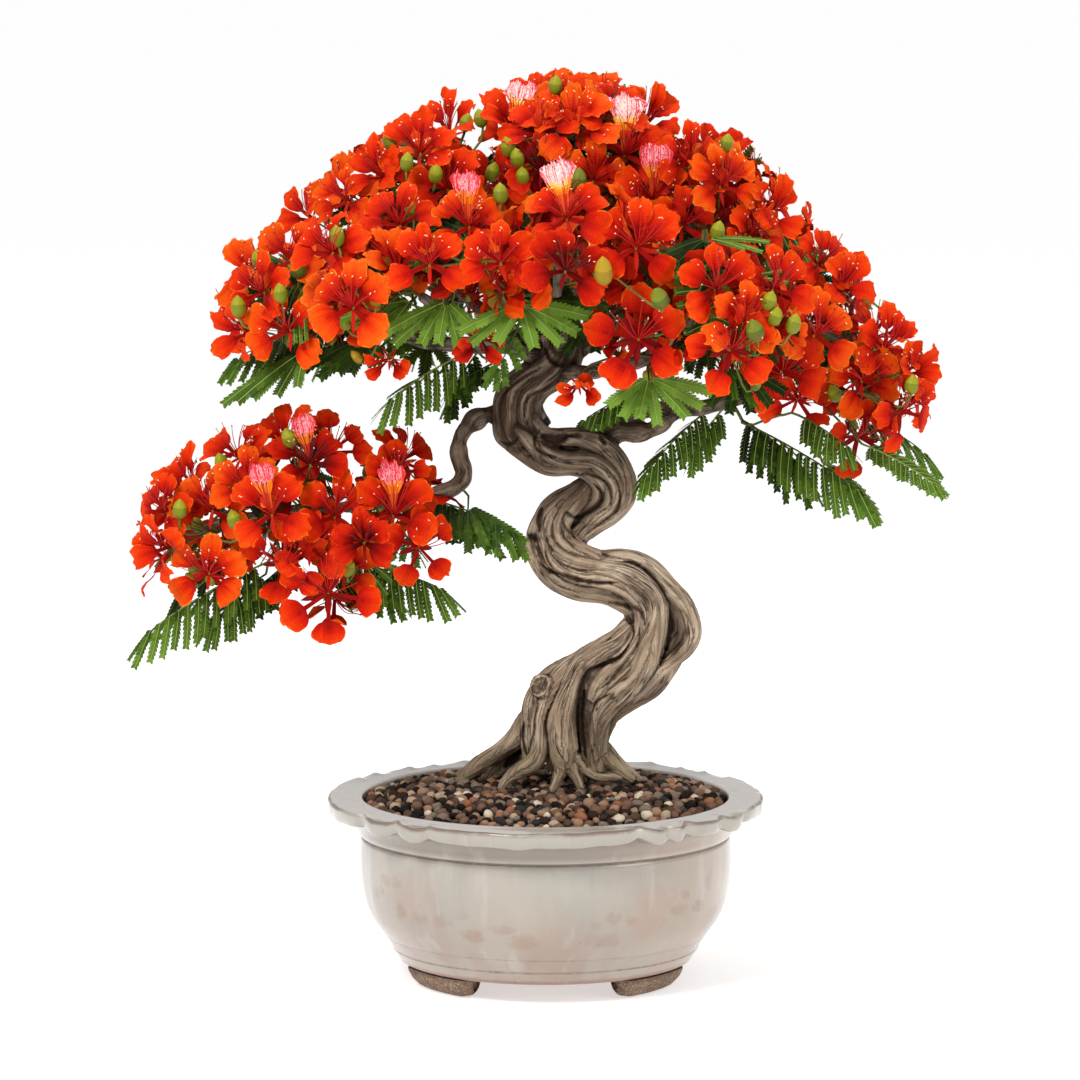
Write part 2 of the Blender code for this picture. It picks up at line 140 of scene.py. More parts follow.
def vnoise(p, seed=0):
    """Smooth value noise between -1 and 1 at points (n, 3)."""
    p = np.asarray(p, float)
    i = np.floor(p).astype(np.int64)
    f = p - i
    u = f * f * f * (f * (f * 6 - 15) + 10)
    out = np.zeros(p.shape[:-1])
    for a in (0, 1):
        wa = u[..., 0] if a else 1 - u[..., 0]
        for b in (0, 1):
            wb = u[..., 1] if b else 1 - u[..., 1]
            for c in (0, 1):
                wc = u[..., 2] if c else 1 - u[..., 2]
                out += wa * wb * wc * _hash(i[..., 0] + a, i[..., 1] + b, i[..., 2] + c, seed)
    return out * 2 - 1


def fbm(p, octaves=3, seed=0, gain=0.5):
    total, amp, norm = 0.0, 1.0, 0.0
    p = np.asarray(p, float)
    for k in range(octaves):
        total = total + amp * vnoise(p * (2.03 ** k) + 13.7 * k, seed + k)
        norm += amp
        amp *= gain
    return total / norm


def voronoi2(p, seed=0):
    """First and second nearest cell distances at points (n, 2)."""
    i = np.floor(p).astype(np.int64)
    f1 = np.full(len(p), 9.0)
    f2 = np.full(len(p), 9.0)
    zero = np.zeros(len(p), np.int64)
    for a in (-1, 0, 1):
        for b in (-1, 0, 1):
            cx, cy = i[:, 0] + a, i[:, 1] + b
            qx = cx + 0.15 + 0.7 * _hash(cx, cy, zero, seed)
            qy = cy + 0.15 + 0.7 * _hash(cx, cy, zero + 1, seed)
            d = np.hypot(p[:, 0] - qx, p[:, 1] - qy)
            near = d < f1
            f2 = np.where(near, f1, np.minimum(f2, d))
            f1 = np.where(near, d, f1)
    return f1, f2


def smoothstep(a, b, x):
    t = np.clip((np.asarray(x, float) - a) / (b - a), 0.0, 1.0)
    return t * t * (3 - 2 * t)


def unit(v):
    v = np.asarray(v, float)
    return v / np.maximum(np.linalg.norm(v, axis=-1, keepdims=True), 1e-12)


# ------------------------------------------------------------------ meshes
def mesh_from(name, verts, faces, mats=None, smooth=True):
    """A mesh of triangles or of quads from arrays."""
    verts = np.asarray(verts, np.float32)
    faces = np.asarray(faces, np.int32)
    k, sides = faces.shape
    mesh = bpy.data.meshes.new(name)
    mesh.vertices.add(len(verts))
    mesh.vertices.foreach_set("co", verts.ravel())
    mesh.loops.add(k * sides)
    mesh.loops.foreach_set("vertex_index", faces.ravel())
    mesh.polygons.add(k)
    mesh.polygons.foreach_set("loop_start", np.arange(0, k * sides, sides, dtype=np.int32))
    if mats is not None:
        mesh.polygons.foreach_set("material_index", np.asarray(mats, np.int32))
    mesh.polygons.foreach_set("use_smooth", np.full(k, bool(smooth)))
    mesh.update(calc_edges=True)
    return mesh


def add(name, mesh, materials, replaces=()):
    """Put a finished piece in the scene, on the frame."""
    if mesh.users:
        mesh = mesh.copy()
    obj = bpy.data.objects.new(name, mesh)
    SCENE.collection.objects.link(obj)
    for m in materials:
        mesh.materials.append(m)
    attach(obj, "root")
    if replaces:
        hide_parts(*replaces)
    return obj


class Pile:
    """Many small meshes of triangles gathered into one, each face with its material."""

    def __init__(self):
        self.verts, self.faces, self.mats, self.count = [], [], [], 0

    def put(self, verts, faces, mats):
        """verts (q, n, 3) or (n, 3); faces (k, 3); mats (k,), (q,) or (q, k)."""
        verts = np.asarray(verts, float)
        if verts.ndim == 2:
            verts = verts[None]
        q, n, _ = verts.shape
        faces = np.asarray(faces, np.int64)
        k = len(faces)
        allf = faces[None] + (np.arange(q) * n)[:, None, None] + self.count
        mats = np.asarray(mats)
        if mats.ndim == 0:
            mats = np.full((q, k), int(mats))
        elif mats.ndim == 1:
            mats = np.broadcast_to(mats[None, :] if len(mats) == k and (q == 1 or k != q)
                                   else mats[:, None], (q, k))
        self.verts.append(verts.reshape(-1, 3))
        self.faces.append(allf.reshape(-1, 3))
        self.mats.append(mats.reshape(-1))
        self.count += q * n

    def triangles(self):
        return sum(len(f) for f in self.faces)

    def mesh(self, name, smooth=True):
        return mesh_from(name, np.concatenate(self.verts), np.concatenate(self.faces),
                         np.concatenate(self.mats), smooth)


def grid_faces(rows, cols):
    """Triangles of a sheet of rows x cols points."""
    r = np.arange(rows - 1)[:, None]
    c = np.arange(cols - 1)[None, :]
    a = (r * cols + c).ravel()
    b, d, e = a + 1, a + cols, a + cols + 1
    return np.concatenate([np.stack([a, b, e], 1), np.stack([a, e, d], 1)])


def grid_rows(rows, cols):
    """The row and column of each face that grid_faces makes."""
    r = np.repeat(np.arange(rows - 1), cols - 1)
    c = np.tile(np.arange(cols - 1), rows - 1)
    return np.concatenate([r, r]), np.concatenate([c, c])


def tube_faces(rings, sides, cap=True):
    faces = []
    for k in range(rings - 1):
        for i in range(sides):
            j = (i + 1) % sides
            a, b = k * sides + i, k * sides + j
            faces += [(a, b, b + sides), (a, b + sides, a + sides)]
    if cap:
        for i in range(1, sides - 1):
            faces.append((0, i + 1, i))
            last = (rings - 1) * sides
            faces.append((last, last + i, last + i + 1))
    return np.array(faces)


def spline(points, steps):
    """Catmull-Rom through rows of numbers (k, d), by even parameter."""
    p = np.asarray(points, float)
    p = np.vstack([2 * p[0] - p[1], p, 2 * p[-1] - p[-2]])
    out = []
    for k in range(len(p) - 3):
        t = np.arange(steps)[:, None] / steps
        a, b, c, d = p[k], p[k + 1], p[k + 2], p[k + 3]
        out.append(0.5 * (2 * b + (c - a) * t + (2 * a - 5 * b + 4 * c - d) * t ** 2
                          + (3 * b - a - 3 * c + d) * t ** 3))
    out.append(p[-2][None])
    return np.concatenate(out)


def even_line(points, step):
    """A smooth line through the rows, with rings about a step apart."""
    fine = spline(points, 16)
    run = np.concatenate([[0], np.cumsum(np.linalg.norm(np.diff(fine[:, :3], axis=0), axis=1))])
    n = max(2, int(round(run[-1] / step)) + 1)
    at = np.linspace(0, run[-1], n)
    return np.stack([np.interp(at, run, fine[:, j]) for j in range(fine.shape[1])], 1), at


def carried_frames(line):
    """Tangent and two square directions along a line, with no needless turning."""
    t = unit(np.gradient(line[:, :3], axis=0))
    ref = np.array([0.0, 1.0, 0.0]) if abs(t[0][1]) < 0.9 else np.array([1.0, 0.0, 0.0])
    side = unit(ref - t[0] * ref.dot(t[0]))
    sides = [side]
    for k in range(1, len(t)):
        side = sides[-1] - t[k] * sides[-1].dot(t[k])
        sides.append(unit(side))
    sides = np.array(sides)
    return t, sides, np.cross(t, sides)


def tube(line, sides, radius=None):
    """Points of a round tube along line (k, 3 or 4)."""
    r = line[:, 3] if radius is None else np.broadcast_to(radius, (len(line),))
    _, u, v = carried_frames(line)
    a = np.linspace(0, 2 * np.pi, sides, endpoint=False)
    ring = np.cos(a)[None, :, None] * u[:, None] + np.sin(a)[None, :, None] * v[:, None]
    return (line[:, None, :3] + ring * r[:, None, None]).reshape(-1, 3)


# ------------------------------------------------------------------ colours
def lin(r, g, b):
    """Linear colour from 0-255 display values."""
    out = []
    for c in (r, g, b):
        c = c / 255.0
        out.append(c / 12.92 if c <= 0.04045 else ((c + 0.055) / 1.055) ** 2.4)
    return (*out, 1.0)


def principled(name, rough=0.5, coat=0.0, coat_rough=0.05, spec=0.5, sheen=0.0):
    mat = bpy.data.materials.new(name)
    mat.use_nodes = True
    shader = mat.node_tree.nodes["Principled BSDF"]
    shader.inputs["Roughness"].default_value = rough
    shader.inputs["Specular IOR Level"].default_value = spec
    shader.inputs["Coat Weight"].default_value = coat
    shader.inputs["Coat Roughness"].default_value = coat_rough
    shader.inputs["Sheen Weight"].default_value = sheen
    return mat, mat.node_tree, shader


def plain(name, colour, rough=0.5, spec=0.4, sheen=0.0):
    mat, _, shader = principled(name, rough, spec=spec, sheen=sheen)
    shader.inputs["Base Color"].default_value = colour
    return mat


class Graph:
    """Short calls for building a material's nodes."""

    def __init__(self, tree):
        self.t = tree

    def new(self, kind, **values):
        node = self.t.nodes.new(kind)
        for key, v in values.items():
            setattr(node, key, v)
        return node

    def link(self, a, b):
        self.t.links.new(a, b)

    def feed(self, socket, v):
        if isinstance(v, bpy.types.NodeSocket):
            self.t.links.new(v, socket)
        else:
            socket.default_value = v

    def position(self):
        return self.new("ShaderNodeTexCoord").outputs["Object"]

    def attribute(self, name, output="Fac"):
        return self.new("ShaderNodeAttribute", attribute_name=name).outputs[output]

    def scaled(self, vector, scale, shift=(0, 0, 0)):
        node = self.new("ShaderNodeMapping")
        self.feed(node.inputs["Vector"], vector)
        node.inputs["Scale"].default_value = scale
        node.inputs["Location"].default_value = shift
        return node.outputs["Vector"]

    def noise(self, vector, scale, detail=3.0, rough=0.5, warp=0.0):
        node = self.new("ShaderNodeTexNoise")
        self.feed(node.inputs["Vector"], vector)
        node.inputs["Scale"].default_value = scale
        node.inputs["Detail"].default_value = detail
        node.inputs["Roughness"].default_value = rough
        node.inputs["Distortion"].default_value = warp
        return node.outputs["Fac"]

    def cells(self, vector, scale, feature="F1", rnd=1.0, output="Distance"):
        node = self.new("ShaderNodeTexVoronoi", feature=feature)
        self.feed(node.inputs["Vector"], vector)
        node.inputs["Scale"].default_value = scale
        node.inputs["Randomness"].default_value = rnd
        return node.outputs[output]

    def math(self, op, a, b=0.0, c=0.0, clamp=False):
        node = self.new("ShaderNodeMath", operation=op, use_clamp=clamp)
        self.feed(node.inputs[0], a)
        self.feed(node.inputs[1], b)
        if op in ("MULTIPLY_ADD", "SMOOTH_MIN", "SMOOTH_MAX"):
            self.feed(node.inputs[2], c)
        return node.outputs[0]

    def span(self, v, a, b, low=0.0, high=1.0):
        node = self.new("ShaderNodeMapRange", interpolation_type="SMOOTHSTEP")
        self.feed(node.inputs["Value"], v)
        node.inputs["From Min"].default_value = a
        node.inputs["From Max"].default_value = b
        node.inputs["To Min"].default_value = low
        node.inputs["To Max"].default_value = high
        return node.outputs["Result"]

    def mix(self, fac, a, b, kind="MIX"):
        node = self.new("ShaderNodeMix", data_type="RGBA", blend_type=kind)
        self.feed(node.inputs["Factor"], fac)
        self.feed(node.inputs["A"], a)
        self.feed(node.inputs["B"], b)
        return node.outputs["Result"]

    def bump(self, height, strength, distance, normal=None):
        node = self.new("ShaderNodeBump")
        self.feed(node.inputs["Height"], height)
        node.inputs["Strength"].default_value = strength
        node.inputs["Distance"].default_value = distance
        if normal is not None:
            self.feed(node.inputs["Normal"], normal)
        return node.outputs["Normal"]

    def split(self, vector):
        node = self.new("ShaderNodeSeparateXYZ")
        self.feed(node.inputs[0], vector)
        return node.outputs

    def radius(self, vector):
        x, y, _ = self.split(vector)
        return self.math("SQRT", self.math("ADD", self.math("MULTIPLY", x, x), self.math("MULTIPLY", y, y)))


def number_attribute(mesh, name, values):
    attr = mesh.attributes.new(name, "FLOAT", "POINT")
    attr.data.foreach_set("value", np.asarray(values, np.float32))


def vector_attribute(mesh, name, values):
    attr = mesh.attributes.new(name, "FLOAT_VECTOR", "POINT")
    attr.data.foreach_set("vector", np.asarray(values, np.float32).ravel())


# ------------------------------------------------------------------ stage
def make_stage():
    mesh = mesh_from("floor", [(-45, -45, 0), (45, -45, 0), (45, 45, 0), (-45, 45, 0)],
                     [(0, 1, 2, 3)], smooth=False)
    floor = bpy.data.objects.new("floor", mesh)
    floor.location.z = -0.0004
    SCENE.collection.objects.link(floor)
    white = plain("floor_white", (0.80, 0.80, 0.80, 1.0), 0.9, 0.05)
    shader = white.node_tree.nodes["Principled BSDF"]
    shader.inputs["Emission Color"].default_value = (1.0, 1.0, 1.0, 1.0)
    shader.inputs["Emission Strength"].default_value = 0.52
    mesh.materials.append(white)

    world = bpy.data.worlds.new("soft_white")
    world.use_nodes = True
    back = world.node_tree.nodes["Background"]
    back.inputs["Color"].default_value = (1.0, 1.0, 1.0, 1.0)
    back.inputs["Strength"].default_value = 0.58
    SCENE.world = world

    def area(name, place, aim, size, power, colour=(1, 1, 1)):
        data = bpy.data.lights.new(name, "AREA")
        data.shape = "DISK"
        data.size = size
        data.energy = power
        data.color = colour
        lamp = bpy.data.objects.new(name, data)
        lamp.location = place
        way = Vector(aim) - Vector(place)
        lamp.rotation_euler = way.to_track_quat("-Z", "Y").to_euler()
        SCENE.collection.objects.link(lamp)

    area("key", (-1.5, -2.7, 2.9), (0.0, 0.0, 0.5), 1.0, 82.0, (1.0, 0.985, 0.96))
    area("fill", (2.6, -1.8, 1.5), (0.0, 0.0, 0.45), 1.6, 20.0, (0.97, 0.985, 1.0))
    area("top", (0.2, 0.5, 3.2), (0.0, 0.0, 0.5), 1.4, 30.0)

    view = SCENE.view_settings
    view.view_transform = "Standard"
    view.look = "None"
    view.exposure = 0.0
    view.gamma = 1.0


# ------------------------------------------------------------------ bowl
# Notches in the lip, in degrees round from the front to the right.
LIP_NOTCHES = [25.0, 34.3, 39.6, 53.7, 65.7, 117.0, 129.0, 138.0, 148.0, 203.0, 212.5, 221.0, 235.0, 244.0,
               302.8, 316.4, 327.2]


def lip_lobes(angle):
    """How deep a place lies in a notch, how far its flap hangs, which side of it it is on, 1 on broad ones."""
    turn = np.degrees(angle) + 90.0
    cut, flap, sway, broad = (np.zeros_like(turn) for _ in range(4))
    for a, b in zip(LIP_NOTCHES, LIP_NOTCHES[1:] + [LIP_NOTCHES[0] + 360.0]):
        t = ((turn - a) % 360.0) / (b - a)
        inside = t < 1
        wide = b - a > 30
        edge = np.abs(2 * t - 1)
        cut = np.where(inside, edge ** (13.0 if wide else 2.4), cut)
        flap = np.where(inside, 1 - edge ** (7.0 if wide else 2.2), flap)
        sway = np.where(inside & (not wide), (2 * t - 1), sway)
        broad = np.where(inside, float(wide), broad)
    def soft(v):
        for _ in range(2):
            v = sum(w * np.roll(v, j) for j, w in zip(range(-1, 2), (1, 2, 1))) / 4
        return v
    return np.clip(soft(cut), 0, 1), soft(flap), soft(sway), broad


# Soft tan spots on the front of the bowl: picture place, half widths across and down, strength;
# a strength below 0 is a pinker wash.
BOWL_SPOTS = [(412, 904, 24, 24, -.50), (652, 914, 24, 26, -.60), (441, 922, 9, 6, .50), (462, 913, 6, 5, .35),
              (472, 935, 12, 6, .80), (500, 926, 12, 4.5, .55), (525, 939, 14, 7, .70), (614, 916, 8, 6, .50),
              (601, 937, 15, 8, .60), (679, 916, 9, 6, .50), (699, 915, 5, 6, .90), (400, 919, 5, 7, .70),
              (418, 923, 8, 6, .60), (378, 906, 5, 6, .70), (385, 890, 5, 6, .50), (395, 890, 5, 6, .50),
              (686, 900, 4, 4, .60), (710, 892, 4, 9, .60), (632, 919, 6, 4, .45), (597, 922, 5, 4, .40)]


def make_bowl():
    # the third column is glaze wear, and painted shade on the rows under the lip
    outside = [  # radius, height, how worn the glaze is there
        (0.0001, .0204, 1), (.0600, .0204, 1), (.1200, .0204, 1), (.1400, .0204, 1),
        (.1450, .0207, 1), (.1468, .0216, .9), (.1480, .0232, .7), (.1496, .0262, .25),
        (.1516, .0292, .08), (.1536, .0320, .15), (.1545, .0332, .55), (.1543, .0342, .75),
        (.1551, .0352, .45), (.1560, .0368, .1), (.1578, .0400, 0), (.1603, .0440, 0),
        (.1622, .0468, .15), (.1626, .0480, .6), (.1636, .0489, .45), (.1650, .0505, .05),
        (.1690, .0560, 0), (.1728, .0612, 0), (.1762, .0670, 0), (.1795, .0745, 0),
        (.1820, .0825, 0), (.1840, .0915, 0), (.1854, .1005, 0), (.1863, .1095, 0),
        (.1868, .1190, 0), (.1868, .1285, 0), (.1866, .1375, 0), (.1863, .1425, .05),
        (.1861, .1455, .3), (.1853, .1466, .8), (.1847, .1477, 1), (.1856, .1486, .9),
        (.1872, .1491, .35), (.1882, .1499, .15), (.1889, .1515, .05), (.1897, .1540, 0),
        (.1908, .1570, 0), (.1924, .1605, 0), (.1945, .1640, 0), (.1972, .1675, .05),
        (.2006, .1708, .12), (.2046, .1734, .2), (.2090, .1748, .35)]
    lip = [
        (.2120, .1745, .55), (.2140, .1742, .75), (.2158, .1746, .6), (.2171, .1757, .25),
        (.2180, .1774, .05), (.2186, .1795, 0), (.2189, .1817, .05), (.2189, .1838, .25),
        (.2186, .1854, .62), (.2178, .1865, .80), (.2166, .1871, .55), (.2150, .1873, .25),
        (.2125, .1872, .05)]
    inside = [
        (.2085, .1867, 0), (.2035, .1861, 0), (.1980, .1857, 0), (.1930, .1857, 0),
        (.1890, .1860, .05), (.1864, .1861, .15), (.1848, .1855, .25), (.1838, .1840, .15),
        (.1832, .1815, .1), (.1827, .1780, .1), (.1815, .1700, .2), (.1795, .1560, .2)]
    rows = outside + lip + inside
    first, last = len(outside), len(outside) + len(lip)
    profile = np.array(rows)
    seg = 640
    ang = np.linspace(0, 2 * np.pi, seg, endpoint=False)
    cut, flap, sway, broad_lobe = lip_lobes(ang)
    k = np.arange(len(rows))
    share = np.clip((k - (first - 5)) / 5.0, 0, 1) * np.clip((last + 2 - k) / 4.0, 0, 1)
    share = smoothstep(0, 1, share)
    low = np.clip((k - (first - 4)) / 4.0, 0, 1) * np.clip((first + 8 - k) / 5.0, 0, 1)
    R = profile[:, 0][:, None] * np.ones(seg)
    Z = profile[:, 1][:, None] * np.ones(seg)
    face = np.clip((k - (first + 1)) / 4.0, 0, 1) * np.clip((last + 1 - k) / 4.0, 0, 1)
    R = R - share[:, None] * (0.0046 * cut)[None] - face[:, None] * (0.0010 * cut ** 3)[None]
    # each flap of the lip hangs lower in its middle, and steps where it meets the next
    ripple = fbm(np.stack([np.cos(ang) * 7, np.sin(ang) * 7, 0 * ang], 1), 2, 31)
    droop = (0.0032 * flap + 0.0012 * sway) * (1 - 0.45 * broad_lobe) + 0.0018 * ripple
    Z = Z - share[:, None] * droop[None] - low[:, None] * (0.0026 * flap + 0.0013 * ripple)[None]
    # the hand of the potter: the lip and body are never quite true
    ring = np.stack([np.cos(ang) * 2.2, np.sin(ang) * 2.2, np.zeros(seg)], 1)
    wob = fbm(ring, 3, 5)
    fine = fbm(ring * 6.0, 2, 8)
    R += share[:, None] * (0.0006 * wob + 0.0005 * fine)[None]
    Z += (share * 0.0007)[:, None] * wob[None] + (share * 0.0004)[:, None] * fine[None]
    x, y = R * np.cos(ang), R * np.sin(ang)
    skin_pts = np.stack([x, y, Z], 2).reshape(-1, 3)
    drip = fbm(np.stack([x.ravel() * 60, y.ravel() * 60, Z.ravel() * 16], 1), 2, 3)
    body = smoothstep(.052, .07, skin_pts[:, 2]) * smoothstep(.143, .13, skin_pts[:, 2])
    out = unit(skin_pts * np.array([1, 1, 0]))
    skin_pts = skin_pts + out * (drip * body * 0.00035)[:, None]
    # inner shell, down under the gravel, and closed over the foot
    deep = np.array([(.1700, .1000), (.1560, .0500), (.1380, .0330), (.0800, .0305), (.0001, .0300)])
    R2 = deep[:, 0][:, None] * np.ones(seg)
    inner = np.stack([R2 * np.cos(ang), R2 * np.sin(ang), deep[:, 1][:, None] * np.ones(seg)], 2)
    verts = np.concatenate([skin_pts, inner.reshape(-1, 3)])
    nrows = len(rows) + len(deep)
    r = np.arange(nrows - 1)[:, None]
    c = np.arange(seg)[None]
    a = r * seg + c
    b = r * seg + (c + 1) % seg
    quads = np.stack([a, b, b + seg, a + seg], 2).reshape(-1, 4)
    mesh = mesh_from("bowl_shell", verts, quads)
    bm = bmesh.new()
    bm.from_mesh(mesh)
    poles = [v for v in bm.verts if math.hypot(v.co.x, v.co.y) < 0.0005]
    bmesh.ops.remove_doubles(bm, verts=poles, dist=0.0006)
    bmesh.ops.dissolve_degenerate(bm, edges=bm.edges, dist=1e-7)
    bmesh.ops.recalc_face_normals(bm, faces=bm.faces)
    bm.to_mesh(mesh)
    bm.free()
    co = np.empty(len(mesh.vertices) * 3, np.float32)
    mesh.vertices.foreach_get("co", co)
    co = co.reshape(-1, 3)
    wear_and_shade = np.zeros(len(co))
    tree = KDTree(len(skin_pts))
    for i in range(0, len(skin_pts)):
        tree.insert(skin_pts[i], i)
    tree.balance()
    wear_and_shade_src = np.repeat(profile[:, 2], seg)
    tip = cut[np.arange(len(skin_pts)) % seg] * np.repeat(share, seg)
    # deep in the notches of the lip the mark is painted shade
    deep_cut = smoothstep(0.80, 0.98, cut)[np.arange(len(skin_pts)) % seg] \
        * np.repeat(((k >= first + 3) & (k <= first + 10)).astype(float), seg)
    lipline = np.repeat(((k >= first + 7) & (k <= first + 11)).astype(float), seg)
    for i, p in enumerate(co):
        j = tree.find(p)[1]
        wear_and_shade[i] = wear_and_shade_src[j] + 0.30 * tip[j] * lipline[j] + 0.25 * deep_cut[j]
    number_attribute(mesh, "wear_and_shade", np.clip(wear_and_shade, 0, 1.3))

    mat, tree_, shader = principled("bowl_glaze", 0.22, coat=0.6, coat_rough=0.06, spec=0.5)
    g = Graph(tree_)
    pos = g.position()
    parts = g.split(pos)
    z = parts[2]
    wear_and_shade_s = g.attribute("wear_and_shade")
    broad = g.noise(pos, 9.0, 3.0, 0.55, 0.4)
    cloud = g.noise(g.scaled(pos, (1, 1, 0.45)), 26.0, 4.0, 0.6, 0.8)
    colour = g.mix(g.span(broad, 0.35, 0.7), lin(174, 165, 154), lin(161, 157, 148))
    colour = g.mix(g.math("MULTIPLY", g.span(cloud, 0.45, 0.75), 0.50), colour, lin(160, 150, 137))
    # pinker low on the body, at the collar and by the sides
    low_band = g.span(z, 0.125, 0.050)
    pink_n = g.span(g.noise(g.scaled(pos, (1, 1, 0.35), (3, 1, 7)), 17.0, 2.0, 0.5, 0.6), 0.36, 0.66)
    pink = g.math("MULTIPLY", g.math("MAXIMUM", low_band, g.span(z, 0.149, 0.158, 0.0, 0.6)),
                  g.math("MULTIPLY_ADD", pink_n, 0.5, 0.26))
    colour = g.mix(pink, colour, lin(160, 136, 122))
    colour = g.mix(g.span(z, 0.1500, 0.1560, 0.0, 0.62), colour, lin(132, 121, 110))
    colour = g.mix(g.span(parts[0], 0.03, 0.17, 0.0, 0.42), colour, lin(178, 152, 128))
    reach = g.radius(pos)
    lip_face = g.math("MULTIPLY", g.span(reach, 0.2108, 0.2142), 0.80)
    colour = g.mix(g.math("MAXIMUM", g.span(z, 0.1775, 0.1800, 0.0, 0.80), lip_face), colour, lin(170, 165, 154))
    # painted shade on the collar under the overhanging lip
    under_lip_painted_shade = g.math("MULTIPLY", g.span(z, 0.1600, 0.1705, 0.0, 0.62),
                   g.math("MULTIPLY", g.span(reach, 0.2135, 0.2105), g.span(reach, 0.1870, 0.1900)))
    colour = g.mix(under_lip_painted_shade, colour, lin(106, 94, 84))
    # painted light: the upward top of the lip made paler
    lip_top_painted_light = g.math("MULTIPLY", g.span(z, 0.1835, 0.1850), g.span(g.radius(pos), 0.2175, 0.2150))
    colour = g.mix(g.math("MULTIPLY", lip_top_painted_light, 0.85), colour, lin(222, 214, 206))
    # soft tan spots in a band round the belly
    spot_cells = g.math("ADD", g.cells(g.scaled(pos, (1, 1, 1.5)), 30.0, "F1", 0.95),
                        g.math("MULTIPLY_ADD", g.noise(pos, 190.0, 3.0, 0.6), 0.34, -0.17))
    band = g.math("MULTIPLY", g.span(z, 0.052, 0.066), g.span(z, 0.112, 0.088))
    spot_gate = g.span(g.noise(g.scaled(pos, (1, 1, 1), (9, 2, 4)), 23.0, 1.0), 0.42, 0.56)
    spots = g.math("MULTIPLY", g.span(spot_cells, 0.46, 0.16),
                   g.math("MULTIPLY", band, spot_gate))
    spots = g.math("MULTIPLY", spots, g.span(parts[1], -0.10, -0.03))
    colour = g.mix(g.math("MULTIPLY", spots, 0.55), colour, lin(140, 110, 87))
    rough_edge = g.math("ADD", g.math("MULTIPLY_ADD", g.noise(pos, 160.0, 3.0, 0.7), 3.6, -1.8),
                        g.math("MULTIPLY_ADD", g.noise(pos, 55.0, 1.0), 3.0, -1.5))
    tan, wash = 0.0, 0.0
    for px, py, rx, rz, force in BOWL_SPOTS:
        spot = at_y(px, py, -0.155)
        wide, tall = rx * 0.00100, rz * 0.00104
        a = g.math("MULTIPLY_ADD", parts[0], 1 / wide, -float(spot[0]) / wide)
        b = g.math("MULTIPLY_ADD", z, 1 / tall, -float(spot[2]) / tall)
        off = g.math("MULTIPLY_ADD", a, a, g.math("MULTIPLY", b, b))
        if force > 0:
            tan = g.math("MAXIMUM", tan, g.span(g.math("ADD", off, rough_edge), 2.0, -0.2, 0.0, force))
        else:
            wash = g.math("MAXIMUM", wash, g.span(g.math("ADD", off, rough_edge), 2.2, -0.2, 0.0, -force))
    colour = g.mix(g.math("MULTIPLY", wash, 0.75), colour, lin(170, 138, 124))
    colour = g.mix(g.math("MULTIPLY", tan, 0.62), colour, lin(146, 116, 94))
    # faint drips, pulled down from the collar
    streak = g.noise(g.scaled(pos, (1, 1, 0.10)), 62.0, 2.0, 0.5, 0.2)
    drips = g.math("MULTIPLY", g.span(streak, 0.56, 0.72), g.span(z, 0.060, 0.12))
    colour = g.mix(g.math("MULTIPLY", drips, 0.20), colour, lin(154, 136, 124))
    pale = g.span(g.noise(g.scaled(pos, (1, 1, 0.12), (5, 5, 0)), 48.0, 2.0), 0.60, 0.74)
    colour = g.mix(g.math("MULTIPLY", pale, 0.22), colour, lin(200, 197, 189))
    # pin holes and small iron specks
    dots = g.cells(pos, 150.0, "F1", 1.0)
    gate = g.span(g.cells(pos, 150.0, "F1", 1.0, "Color"), 0.80, 0.84)
    pits = g.math("MULTIPLY", g.span(dots, 0.17, 0.08), gate)
    colour = g.mix(g.math("MULTIPLY", pits, 0.6), colour, lin(120, 104, 92))
    # thin glaze at edges and grooves lets the clay through; the same mark under the lip and deep in the notches is
    # painted shade
    ragged = g.math("MULTIPLY_ADD", g.noise(pos, 120.0, 3.0, 0.6), 0.9, -0.45)
    rimmed = g.span(z, 0.1780, 0.1800)
    fitful = g.math("MULTIPLY_ADD", g.span(g.noise(pos, 22.0, 2.0, 0.6), 0.38, 0.58), 0.85, 0.50)
    wear_and_shade_s = g.math("MULTIPLY", wear_and_shade_s, g.math("MULTIPLY_ADD", rimmed, g.math("SUBTRACT", fitful, 1.0), 1.0))
    thin_glaze_and_shade = g.math("ADD", wear_and_shade_s, ragged)
    colour = g.mix(g.math("MULTIPLY", g.span(thin_glaze_and_shade, 0.30, 0.95, 0.0, 0.86), g.math("MULTIPLY_ADD", rimmed, -0.12, 1.0)),
                   colour, lin(112, 90, 76))
    base_bare = g.math("MULTIPLY", g.span(z, 0.0268, 0.0215),
                       g.span(g.noise(pos, 90.0, 3.0, 0.7), 0.34, 0.5))
    colour = g.mix(base_bare, colour, lin(148, 112, 98))
    g.link(colour, shader.inputs["Base Color"])
    rough = g.math("ADD", g.math("MULTIPLY", g.span(thin_glaze_and_shade, 0.4, 0.9), 0.22),
                   g.math("MULTIPLY_ADD", broad, 0.14, 0.15))
    g.link(rough, shader.inputs["Roughness"])
    height = g.math("SUBTRACT", g.math("MULTIPLY", g.noise(pos, 60.0, 2.0), 0.5),
                    g.math("MULTIPLY", pits, 1.0))
    g.link(g.bump(height, 0.25, 0.0006), shader.inputs["Normal"])
    add("bowl_shell", mesh, [mat], ["bowl"])


